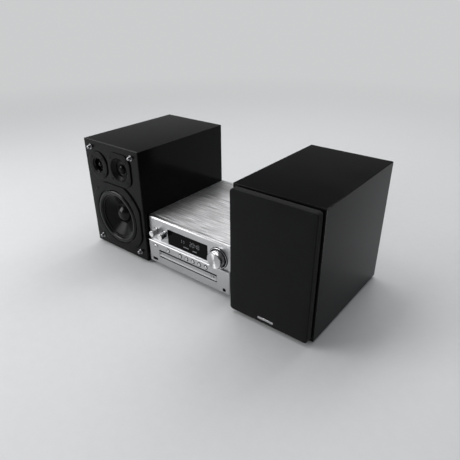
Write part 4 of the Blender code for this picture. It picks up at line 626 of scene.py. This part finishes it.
def bullet_tweeter(hand):
    """The bullet tweeter: a flange with its housing, a throat round a quarter-ellipse bullet, and screws."""
    node = f"super_tweeter_{hand}"
    centre = on_board(node, hand)
    bore, housing, flange, end = 14.6, 21.5, 28.8, 24.0
    rows = profile((bore, -0.9), (16.5, -PLATE), (flange - 0.8, -PLATE), (flange, -2.0), (flange, -0.3),
                   (housing, -0.3), (housing, end), (bore, end), sides=96)
    turned(f"bullet_tweeter_{hand}", driver_plate, "driver_plastic", rows, centre, ease=0.5, closed=True,
           covers=(node,))
    waist = 6.6
    bullet = arc(0, 8.6, waist, 8.4, 0, pi / 2, 12)
    rows = profile(*bullet, (waist, 9.0), (12.2, 9.0), (12.4, 3.0), (13.4, 0.2), (bore - 0.1, -0.9),
                   (bore - 0.05, end - 0.1), (0, end - 0.1), sides=96)
    turned(f"bullet_throat_{hand}", cap_gloss, "driver_plastic", rows, centre, ease=0.4)
    aside = 22.4 * sin(pi / 4)
    screws(f"bullet_screws_{hand}", four_about(centre, aside, aside, proud=PLATE))


def grille_posts(hand):
    """Four chromed posts over the baffle's studs: a domed head and a waist in a low seat."""
    x, _, z = middle(f"baffle_{hand}")
    head, waist, seat, seat_end = 3.92, 2.6, 5.65, 0.4
    rows = profile((0, -8.12), (1.6, -7.95), (3.15, -7.2), (head, -5.6), (head, -4.2), (waist, -1.75),
                   (5.2, -1.7), (seat, -1.2), (seat, seat_end), (0, seat_end), sides=48)
    lift, half_w, half_h = 1.25, 61, 101.25
    spots = four_about((x, board_of(hand), z + lift), half_w, half_h)
    turned(f"grille_posts_{hand}", post_chrome, "driver_metal", rows, *spots, ease=0.5)


def cup_posts(hand):
    """A red and a black binding post on the floor of the terminal cup."""
    x, _, z = middle(f"terminal_cup_{hand}")
    floor = back_of(f"terminal_cup_{hand}") - CUP_DEPTH
    start, end, aside = 0.4, 9.15, 9.5
    rows = binding_post(start, end, (0, start))
    for tone, coat, across in (("red", post_red, -aside), ("black", post_black, aside)):
        turned(f"cup_post_{tone}_{hand}", coat, "black_plastic", rows, (x + across, floor, z))


def cabinet_pads(hand):
    """Four rubber pads under the cabinet, set in from its corners."""
    low, high = corners(f"cabinet_{hand}")
    inset = 18
    across, along = ((low[way] + inset, high[way] - inset) for way in (0, 1))
    spots = [(x, y, 0) for x in across for y in along]
    rows = rubber_foot(sole=6.6, radius=7.15, bevel=0.6, height=4.05, sides=40)
    turned(f"pads_{hand}", foot_rubber, "rubber_black", rows, *spots, ease=0.3, axis="z")


def dress_speaker(hand):
    """A speaker's drivers, grille posts, terminals and pads."""
    woofer = on_board(f"woofer_basket_{hand}", hand)
    woofer_trim(hand, woofer)
    woofer_cone(hand, woofer)
    woofer_roll(hand, woofer)
    horn_tweeter(hand)
    bullet_tweeter(hand)
    grille_posts(hand)
    cup_posts(hand)
    cabinet_pads(hand)


# Right speaker's grille

def grille_face():
    """The depth of the stretched cloth's front, just before the solid that it replaces."""
    return front_of("grille_cloth_right") - 0.1


def grille_cloth():
    """Cloth stretched over the grille's frame: outlines that grow from the middle, round the edge by a
    quarter circle and back along the sides. Its map is the cloth laid flat: each point lies as far from the
    middle as the profile has travelled."""
    x, _, z = middle("grille_frame_right")
    size, roll = (76.3, 113.5, 5.2), 2.0
    turn = corner_bearings(*size, sides=160)
    outline = round_cornered(turn, *size)
    flat = [(share * (outline - roll), 0) for share in np.linspace(0, 1, 9)]
    bend = [(outline - roll + roll * sin(t), roll * (1 - cos(t))) for t in np.linspace(0, pi / 2, 6)[1:]]
    skirt = [(outline, 7.5), (outline, 13.2), (outline - 0.8, 13.7)]
    rows = profile(*flat, *bend, *skirt, sides=len(turn) - 1)
    spots, _ = carried(rows, (x, grille_face(), z), turn=turn)
    travelled = np.cumsum(np.linalg.norm(np.diff(rows, axis=0, prepend=rows[:1]), axis=-1), 0)
    lay = np.stack((travelled * np.sin(turn), travelled * np.cos(turn)), -1) * MM
    cloth = piece("grille_cloth_skin", "grille_right", grille_weave, [(spots, lay)],
                  ("grille_cloth_right",), crisp=80)
    thick = cloth.modifiers.new("cloth_thickness", "SOLIDIFY")
    thick.thickness = 0.35 * MM
    thick.offset = -1


def bare_badge():
    """A bare bright plate, low on the grille and a little left of its middle."""
    x = middle("grille_frame_right")[0] - 2.0
    z = corners("grille_frame_right")[0, 2] + 9.4
    front, bevel, back = -0.75, 0.3, 0.15
    size = (15.2, 2.2, 0.8)
    turn = corner_bearings(*size, sides=48, steps=5)
    edge = round_cornered(turn, *size)
    rows = profile((0, front), (edge - bevel, front), (edge, front + bevel), (edge, back), (0, back),
                   sides=len(turn) - 1)
    piece("bare_badge", "grille_right", satin_edge, [carried(rows, (x, grille_face(), z), turn=turn)])


# Main unit's controls: depths are taken from the display window's face, behind the lower fascia

def on_face(node):
    """Where a control sits: the middle of its solid, on the face of the display window."""
    x, _, z = middle(node)
    return x, front_of("display_window"), z


def volume_knob():
    """The volume knob in its chrome ring, with two rings of painted shade for the dark gaps inside and round
    the ring. Its spun face is dished, at a depth of -13.4 - 0.42 (reach / dish)^2."""
    centre = on_face("volume_ring")
    # Painted shade: near-black rings in the gap between knob and ring, and just round the ring's outside.
    inner_gap_shade = profile((17.4, 3), (17.4, -0.5), (18.7, -0.6), (18.7, 3), sides=128)
    outer_gap_shade = profile((20.2, -0.05), (20.2, -0.6), (20.7, -0.75), (21.3, -0.6), (21.5, -0.05), sides=128)
    gap_shades = [carried(eased(rows, 0.2, closed=True), centre) for rows in (inner_gap_shade, outer_gap_shade)]
    piece("volume_gap_shade", STANDING, painted_shade_black, gap_shades)
    inner, outer, root = 18.6, 20.5, 3
    rows = profile((inner, -0.9), (19.1, -2.0), (19.8, -2.2), (20.4, -1.7), (outer, -0.05), (outer, root),
                   (inner, root), sides=128)
    turned("volume_bezel", bright_chrome, "bright_ring", rows, centre, ease=0.5, closed=True,
           covers=("volume_ring",))
    dish, rim, rim_depth, hub, shaft, shaft_end = 14.2, 15.2, -13.95, 6, 3, 6.7
    reach = np.linspace(0, dish, 10)
    hollow = zip(reach, -13.4 - 0.42 * (reach / dish) ** 2)
    rows = profile(*hollow, (14.9, -14.0), (rim, rim_depth), sides=128)
    turned("volume_face", spun_face, "brushed_aluminium", rows, centre, body="volume_knob",
           covers=("volume_knob",))
    rows = profile((rim, rim_depth), (16.1, -12.7), (16.45, -4.0), (16.6, 1.5), (hub, 1.5), (hub, 3),
                   (shaft, 3), (shaft, shaft_end), (0, shaft_end), sides=128)
    turned("volume_cheek", satin_edge, "brushed_aluminium", rows, centre, ease=0.4, body="volume_knob")


def tone_knob(knob):
    """A bass or treble knob: a bright face with a printed mark, a ribbed grip, and a chrome collar in a dark
    groove, which is a flat ring of painted shade."""
    centre = on_face(knob)
    x, face, z = centre
    rim, rim_depth, shaft, shaft_end, sides = 5.8, -14.8, 3, 6.7, 192
    rows = profile((0, -14.75), (4.9, rim_depth), (5.3, -15.0), (5.6, -15.0), (rim, rim_depth), sides=sides)
    turned(f"{knob}_turned", tone_face, "brushed_aluminium", rows, centre, ease=0.2, body=knob,
           covers=(knob,))
    grip = ribbed(bearings(sides), radius=6.14, ribs=48, depth=0.07)
    rows = profile((rim, rim_depth), (grip, -14.2), (grip, -2.2), (5.7, -1.0), (shaft, -1.0),
                   (shaft, shaft_end), (0, shaft_end), sides=sides)
    turned(f"{knob}_grip", grip_metal, "brushed_aluminium", rows, centre, ease=0.2, body=knob)
    mark = block(x, z + 3.1, 0.6, 3.0)
    plates(f"{knob}_mark", print_grey, [mark], face - 14.88, face - 14.6, body=knob)
    bore, collar = 3.5, 8.1
    rows = profile((bore, -0.7), (collar - 0.6, -0.7), (collar, -0.2), (collar, 0.5), (bore, 0.5), sides=96)
    turned(f"{knob}_collar", bright_chrome, "silver_front", rows, centre, ease=0.25, closed=True)
    # The groove: a flat ring of painted shade round the collar.
    inner, outer, front, back = collar + 0.05, collar + 0.7, -0.12, 0.4
    rows = profile((inner, front), (outer, front), (outer, back), (inner, back), sides=96)
    turned(f"{knob}_groove", painted_shade_black, "black_plastic", rows, centre, ease=0.05, closed=True)


ROUND_BUTTONS = ("source_button", "stop_button", "play_button", "skip_back_button", "skip_forward_button",
                 "memory_button")


def behind_cap(cap, stem):
    """The rows of a button behind its cap's face: its side, a flange inside the fascia and a stem."""
    flange, flange_front, flange_back, stem_end = cap + 1, -1.7, -0.7, 9.2
    return ((cap, -5.4), (cap, flange_front), (flange, flange_front), (flange, flange_back),
            (stem, flange_back), (stem, stem_end), (0, stem_end))


def button_shade_ring(cap, width, sides):
    """The profile of a ring of painted shade round a button, just proud of the lower fascia."""
    inner, outer, bevel, front, back = cap + 0.15, cap + width, 0.15, -5.1, -4.6
    rows = profile((inner, front), (outer - bevel, front), (outer, front + bevel), (outer, back),
                   (inner, back), sides=sides)
    return eased(rows, 0.1, closed=True)


def dress_buttons():
    """Dished round caps and the oblong power cap, each in a ring of painted shade."""
    rings = []
    cap, stem, sides = 3.3, 1.8, 64
    rows = profile((0, -5.72), (1.6, -5.76), (2.6, -5.95), (3.0, -5.9), *behind_cap(cap, stem), sides=sides)
    for button in ROUND_BUTTONS:
        centre = on_face(button)
        turned(f"{button}_cap", satin_edge, "silver_front", rows, centre, ease=0.2, body=body_of(button),
               covers=(button,))
        rings.append(carried(button_shade_ring(cap, 1.3, sides), centre))
    centre, sides = on_face("power_button"), 128
    halves = ((5.5, 2.5), (4.8, 1.8))
    cap, stem = (round_cornered(bearings(sides), half_w, half_h, corner=half_h - 0.01)
                 for half_w, half_h in halves)
    rows = profile((0, -5.85), (cap - 0.8, -5.85), (cap - 0.5, -5.9), *behind_cap(cap, stem), sides=sides)
    turned("power_cap", satin_edge, "silver_front", rows, centre, ease=0.2, body="power_button",
           covers=("power_button",))
    rings.append(carried(button_shade_ring(cap, 1.25, sides), centre))
    piece("button_shade_rings", STANDING, painted_shade_black, rings)


def phones_rim():
    """The rim of the headphone jack, in painted shade so that the jack reads as a dark hole."""
    bore, rim = 1.72, 3.75
    rows = profile((bore, -5.45), (2.6, -5.55), (3.6, -5.3), (rim, -5.0), (rim, -4.6), (bore, -3.0), sides=64)
    turned("phones_rim", painted_shade_black, "black_plastic", rows, on_face("headphone_jack"), ease=0.2, closed=True)


def arrow(x, z, reach):
    """A triangle that points across: two corners behind the middle, one ahead of it."""
    tail, half_h = x - reach / 2, abs(reach) * 0.6
    return np.array([(tail, z - half_h), (tail, z + half_h), (x + reach / 2, z)])


def transport_signs():
    """Square, arrow, arrows with bars, a dot pair and two lines, printed above the row of buttons."""
    spots = {button: middle(button)[0] for button in ROUND_BUTTONS}
    z = middle("play_button")[2] + 5.4
    signs = [block(spots["stop_button"], z, 1.5, 1.5), arrow(spots["play_button"], z, 1.6)]
    for button, way in (("skip_back_button", -1), ("skip_forward_button", 1)):
        x = spots[button]
        signs += [arrow(x + shift * way, z, 1.4 * way) for shift in (-0.9, 0.6)]
        signs.append(block(x + 1.6 * way, z, 0.4, 1.6))
    signs += [block(spots["memory_button"] + shift, z, 0.9, 0.9) for shift in (-0.8, 0.8)]
    signs += [block(spots["source_button"], z + shift, 2.2, 0.4) for shift in (-0.6, 0.6)]
    face = front_of("display_window")
    plates("signs", print_grey, signs, face - 5.04, face - 4.9)


# Main unit's disc slot

HOLLOW = 0.95       # how far the tray's face falls back behind its lip
SHY = 0.1           # how far its upper and lower edges stay behind the lip
LIP_HEIGHT = 5.0    # from the tray front's lower edge to where its face starts to lean forward


def tray_fronts():
    """The tray front and the button at its end, drawn from one hollowed section: a lip under a face that
    leans forward. The button's back lies deeper."""
    (_, lip, bottom), (_, back, top) = corners("tray_front")
    section = np.array([(back, bottom + 1.5), (lip + SHY, bottom + 1.5), (lip, bottom + 2.2),
                        (lip + HOLLOW, bottom + 5.2), (lip + SHY, top - 0.8), (back, top - 3.8)])
    section = eased(section[:, None], 0.3, closed=True)[:, 0]
    for node, deeper in (("tray_front", 0), ("open_close_button", 1.0)):
        left, right = corners(node)[:, 0]
        shape = section + np.where(section[:, :1] > back - 0.5, (deeper, 0), (0, 0))
        piece(f"{node}_drawn", body_of(node), satin_silver, [drawn(shape, left, right, edge=0.25)],
              (node,))


def eject_sign():
    """A bar under a triangle, printed on the open/close button where its face leans forward."""
    (_, lip, bottom), (_, _, top) = corners("tray_front")
    x, _, z = middle("open_close_button") + (0, 0, 2.4)
    rise = (z - bottom - LIP_HEIGHT) / (top - bottom - LIP_HEIGHT)
    lean = lip + HOLLOW - (HOLLOW - SHY) * rise
    triangle = np.array([(x - 1.7, z - 0.8), (x + 1.7, z - 0.8), (x, z + 1.6)])
    plates("eject_sign", print_grey, [block(x, z - 1.7, 3.2, 0.8), triangle], lean - 0.2,
           lean + 0.3, body="open_close_button")


def slot_walls():
    """The slot's four walls as thin plates of painted shade, so that the gaps round the tray read as
    dark lines.
    """
    (tray_left, lip, tray_bottom), (_, _, tray_top) = corners("tray_front")
    left, right = tray_left - 0.5, corners("open_close_button")[1, 0] + 1.2
    bottom, top = tray_bottom - 0.5, tray_top + 2.4
    x, z = (left + right) / 2, (bottom + top) / 2
    width, height = right - left - 1, top - bottom - 1
    thin, inset = 0.2, 0.11
    walls = [block(x, bottom + inset, width, thin), block(x, top - inset, width, thin),
             block(left + inset, z, thin, height), block(right - inset, z, thin, height)]
    plates("slot_walls", painted_shade_black, walls, lip + 0.05, lip + 3.0)


# Main unit's display

SEGMENTS = {"0": "abcdef", "1": "bc", "2": "abged", "4": "fgbc", "8": "abcdefg"}


def slim_bar(reach, half_h):
    """A lying bar of six corners: a point at each end, and shoulders half_h further in, above and below."""
    inner = reach - half_h
    return np.array([(-reach, 0), (-inner, half_h), (inner, half_h), (reach, 0), (inner, -half_h),
                     (-inner, -half_h)])


def digit(sign, x, z, width, height):
    """A seven-bar digit: slim bars on the edges of two stacked cells, three lying and four standing."""
    across, cell = width / 2, height / 2
    half_h, half = width * 0.09, cell / 2
    lie = slim_bar(across - half_h, half_h)
    stand = slim_bar(half - half_h, half_h)[:, ::-1]
    bars = {"a": lie + (0, cell), "g": lie, "d": lie - (0, cell),
            "b": stand + (across, half), "c": stand + (across, -half),
            "f": stand + (-across, half), "e": stand + (-across, -half)}
    return [bars[key] + (x, z) for key in SEGMENTS[sign]]


def display_signs():
    """A plain time in seven-bar digits, a track number and two rows of small bars on the window."""
    x, face, z = on_face("display_window")
    clock = zip("2048", (8.8, 14.8, 21.8, 27.8))
    shapes = [bar for sign, across in clock for bar in digit(sign, x + across, z + 3.15, 4.2, 8.4)]
    shapes += [block(x + 18.3, z + up, 0.8, 0.8) for up in (1.15, 4.95)]
    shapes += [bar for across in (-15.7, -10.2) for bar in digit("1", x + across, z + 2.55, 3.6, 7.6)]
    shapes += [block(x - 9.3 + 2.3 * i, z - 8.25, 1.7, 1.9) for i in range(6)]
    shapes += [block(x + 14.5 + 2.6 * i, z - 9.25, 1.9, 1.9) for i in range(4)]
    plates("display_signs", digit_grey, shapes, face - 0.06, face + 0.3)


# Main unit's rear and feet: depths at the rear are taken from the mains inlet's face

def unit_posts():
    """Four ribbed binding posts in a row."""
    x, _, z = middle("speaker_terminals")
    face = back_of("mains_inlet")
    pitch, start, shank, root = 16, 1.3, 3.3, -0.3
    rows = binding_post(start, 10.15, (0, root), (shank, root), (shank, start))
    for i, coat in enumerate((post_red, post_black, post_black, post_red)):
        turned(f"unit_post_{i}", coat, "black_plastic", rows, (x + (i - 1.5) * pitch, face, z))


def jack_barrels():
    """Three bright jack barrels, each with a coloured ring at its mouth."""
    x, _, z = middle("audio_jacks")
    face = back_of("mains_inlet")
    pitch, barrel, bore, root, end = 14, 4.35, 1.6, -0.2, 7.12
    rows = profile((barrel, root), (barrel, 6.7), (3.9, end), (bore, end), (bore, root), sides=64)
    spots = [(x, face, z + up) for up in (-pitch, 0, pitch)]
    turned("jack_barrels", bright_chrome, "black_plastic", rows, *spots, ease=0.2, closed=True)
    inner, outer, ring_root, ring_end = 1.75, 3.1, 6.9, 7.3
    rows = profile((outer, ring_root), (outer, ring_end), (inner, ring_end), (inner, ring_root), sides=64)
    for i, (coat, spot) in enumerate(zip((post_black, post_red, socket_white), spots)):
        turned(f"jack_ring_{i * pitch}", coat, "black_plastic", rows, spot, ease=0.1, closed=True)


def unit_feet():
    """The main unit's four rubber feet."""
    rows = rubber_foot(sole=8.1, radius=8.95, bevel=0.9, height=7.7, sides=64)
    for foot in [f"foot_{end}_{hand}" for end in ("front", "rear") for hand in HANDS]:
        x, y, _ = middle(foot)
        turned(f"{foot}_turned", foot_rubber, "rubber_black", rows, (x, y, 0), ease=0.5, covers=(foot,),
               axis="z")


def dress_unit():
    """The main unit's controls, slot, display, terminals and feet."""
    volume_knob()
    tone_knob("bass_knob")
    tone_knob("treble_knob")
    dress_buttons()
    phones_rim()
    transport_signs()
    tray_fronts()
    eject_sign()
    slot_walls()
    display_signs()
    unit_posts()
    jack_barrels()
    unit_feet()


# Solids that keep their own mesh, and solids that get a smooth-shaded copy

PAINTED = {
    "display_window": window_gloss, "display_module": black_plastic, "rear_panel": plain_steel,
    "side_panel_left": side_silver, "side_panel_right": side_silver, "main_board": board_green,
    "front_board": board_green, "heat_sink": fin_metal, "woofer_basket_left": driver_plate,
    "woofer_basket_right": driver_plate, "bottom_chassis": plain_steel, "power_transformer": wound_copper,
}
SMOOTHED = {
    "front_panel": (satin_silver, "silver_front"), "top_panel": (brushed_top, "brushed_aluminium"),
    "disc_tray": (grey_plastic, "grey_plastic"), "loader_frame": (black_plastic, "black_plastic"),
    "tray_gear": (socket_white, "grey_plastic"), "turntable": (grey_plastic, "grey_plastic"),
    "pickup_sled": (black_plastic, "black_plastic"), "disc_clamp": (black_plastic, "black_plastic"),
    # The USB socket's steel shell is painted black plastic and the headphone jack painted shade, so both read
    # as dark holes.
    "usb_socket": (black_plastic, "plain_steel"), "headphone_jack": (painted_shade_black, "black_plastic"),
    "speaker_terminals": (black_plastic, "black_plastic"), "audio_jacks": (black_plastic, "black_plastic"),
    "mains_inlet": (black_plastic, "black_plastic"), "grille_frame_right": (black_plastic, "black_plastic"),
    **{f"cabinet_{hand}": (black_wrap, "cabinet_black") for hand in HANDS},
    **{f"baffle_{hand}": (black_baffle, "baffle_black") for hand in HANDS},
    **{f"terminal_cup_{hand}": (black_plastic, "black_plastic") for hand in HANDS},
}


def dress_solids():
    """Paints the solids that keep their mesh and smooths the others; boxes keep only their steep edges."""
    for node, coat in PAINTED.items():
        solids[node].data.materials.clear()
        solids[node].data.materials.append(coat)
    for node, (coat, slot) in SMOOTHED.items():
        boxy = node.startswith(("cabinet", "baffle"))
        smoothed(node, coat, crisp=50 if boxy else 30)


# Studio, in metres and watts

PALE = (0.60, 0.605, 0.61)
LAMPS = {  # place, aim, width, height, watts
    "key": ((-0.85, 0.1, 2.35), (0, 0, 0.1), 2.2, 0.9, 29),
    "back": ((0.0, 1.55, 1.95), (0, 0, 0.1), 1.2, 1.2, 18),
    "front": ((-1.1, -1.1, 0.7), (-0.1, -0.1, 0.1), 0.9, 0.9, 14),
}


def camera():
    """A plain camera at the photograph's eye point, with its heading, tilt and roll."""
    eye = (0.5136, -0.6328, 0.4994)
    heading, tilt, roll = radians(38.52), radians(28.03), radians(-0.39)
    focal_pixels, picture_pixels, sensor = 449.33, 460, 36
    back = Vector((sin(heading) * cos(tilt), -cos(heading) * cos(tilt), sin(tilt)))
    right = Vector((cos(heading), sin(heading), 0))
    up = back.cross(right)
    right, up = right * cos(roll) + up * sin(roll), up * cos(roll) - right * sin(roll)
    lens = bpy.data.cameras.new("camera")
    lens.sensor_width = sensor
    lens.lens = sensor * focal_pixels / picture_pixels
    stand = bpy.data.objects.new("camera", lens)
    stand.matrix_world = Matrix.Translation(eye) @ Matrix((right, up, back)).transposed().to_4x4()
    scene.collection.objects.link(stand)
    scene.camera = stand


def softbox(name, place, aim, width, height, watts):
    """A wide area lamp at a place, turned to face an aim point."""
    lamp = bpy.data.lights.new(name, "AREA")
    lamp.shape = "RECTANGLE"
    lamp.size, lamp.size_y, lamp.energy = width, height, watts
    stand = bpy.data.objects.new(name, lamp)
    facing = (Vector(place) - Vector(aim)).to_track_quat("Z", "Y").to_matrix().to_4x4()
    stand.matrix_world = Matrix.Translation(place) @ facing
    stand.visible_camera = False
    scene.collection.objects.link(stand)


def seen_straight(tree):
    """One for rays that show a thing as it is: from the camera, off gloss or through glass."""
    rays = add(tree, "LightPath")
    seen = rays.outputs["Is Camera Ray"]
    for other in ("Is Glossy Ray", "Is Transmission Ray"):
        either = add(tree, "Math", operation="MAXIMUM")
        tree.links.new(seen, either.inputs[0])
        tree.links.new(rays.outputs[other], either.inputs[1])
        seen = either.outputs[0]
    return seen


def mix_out(tree, share, first, second, output):
    """Wires a mix of two shaders, by the share of the second, to the tree's output."""
    blend = add(tree, "MixShader")
    tree.links.new(share, blend.inputs[0])
    tree.links.new(first.outputs[0], blend.inputs[1])
    tree.links.new(second.outputs[0], blend.inputs[2])
    tree.links.new(blend.outputs[0], tree.nodes[output].inputs["Surface"])


def pale_floor():
    """A pale floor that fades into the surround with its distance from the set. Only the camera and
    reflections see the fade, so the floor still lights the set as a plain one."""
    coat = finish("pale_floor", PALE, 0.55, grain=60, spread=0.015, rough_play=0.03, Specular_IOR_Level=0.3)
    tree = coat.node_tree
    away = add(tree, "VectorMath", operation="LENGTH")
    tree.links.new(add(tree, "TexCoord").outputs["Object"], away.inputs[0])
    fade = add(tree, "MapRange", {"From Min": 0.5, "From Max": 2.4}, interpolation_type="SMOOTHSTEP")
    tree.links.new(away.outputs["Value"], fade.inputs["Value"])
    share = add(tree, "Math", operation="MULTIPLY")
    tree.links.new(fade.outputs[0], share.inputs[0])
    tree.links.new(seen_straight(tree), share.inputs[1])
    far = add(tree, "Emission", {"Color": (*PALE, 1)})
    mix_out(tree, share.outputs[0], tree.nodes["Principled BSDF"], far, "Material Output")
    reach = 40.0
    rim = [(-reach, -reach, 0), (reach, -reach, 0), (reach, reach, 0), (-reach, reach, 0)]
    sheet = bpy.data.meshes.new("floor")
    sheet.from_pydata(rim, [], [(0, 1, 2, 3)])
    sheet.materials.append(coat)
    ground = bpy.data.objects.new("floor", sheet)
    scene.collection.objects.link(ground)


def pale_surround():
    """An even fill light, and for the camera and reflections a pale surround that darkens with the height."""
    world = bpy.data.worlds.new("studio")
    scene.world = world
    world.use_nodes = True
    tree = world.node_tree
    fill = tree.nodes["Background"]
    fill.inputs["Color"].default_value = (0.95, 0.98, 1.0, 1)
    fill.inputs["Strength"].default_value = 0.38
    shown = add(tree, "Background", {"Color": (*PALE, 1)})
    way = add(tree, "SeparateXYZ")
    tree.links.new(add(tree, "TexCoord").outputs["Generated"], way.inputs[0])
    fall = add(tree, "MapRange", {"From Min": 0.03, "From Max": 0.36, "To Min": 1.0, "To Max": 0.15},
               interpolation_type="SMOOTHSTEP")
    tree.links.new(way.outputs["Z"], fall.inputs["Value"])
    tree.links.new(fall.outputs[0], shown.inputs["Strength"])
    mix_out(tree, seen_straight(tree), fill, shown, "World Output")


def studio():
    """The floor, the surround and three softboxes."""
    pale_floor()
    pale_surround()
    for name, setting in LAMPS.items():
        softbox(name, *setting)


camera()
for hand in HANDS:
    dress_speaker(hand)
grille_cloth()
bare_badge()
dress_unit()
dress_solids()
studio()
scene.view_settings.view_transform = "Standard"
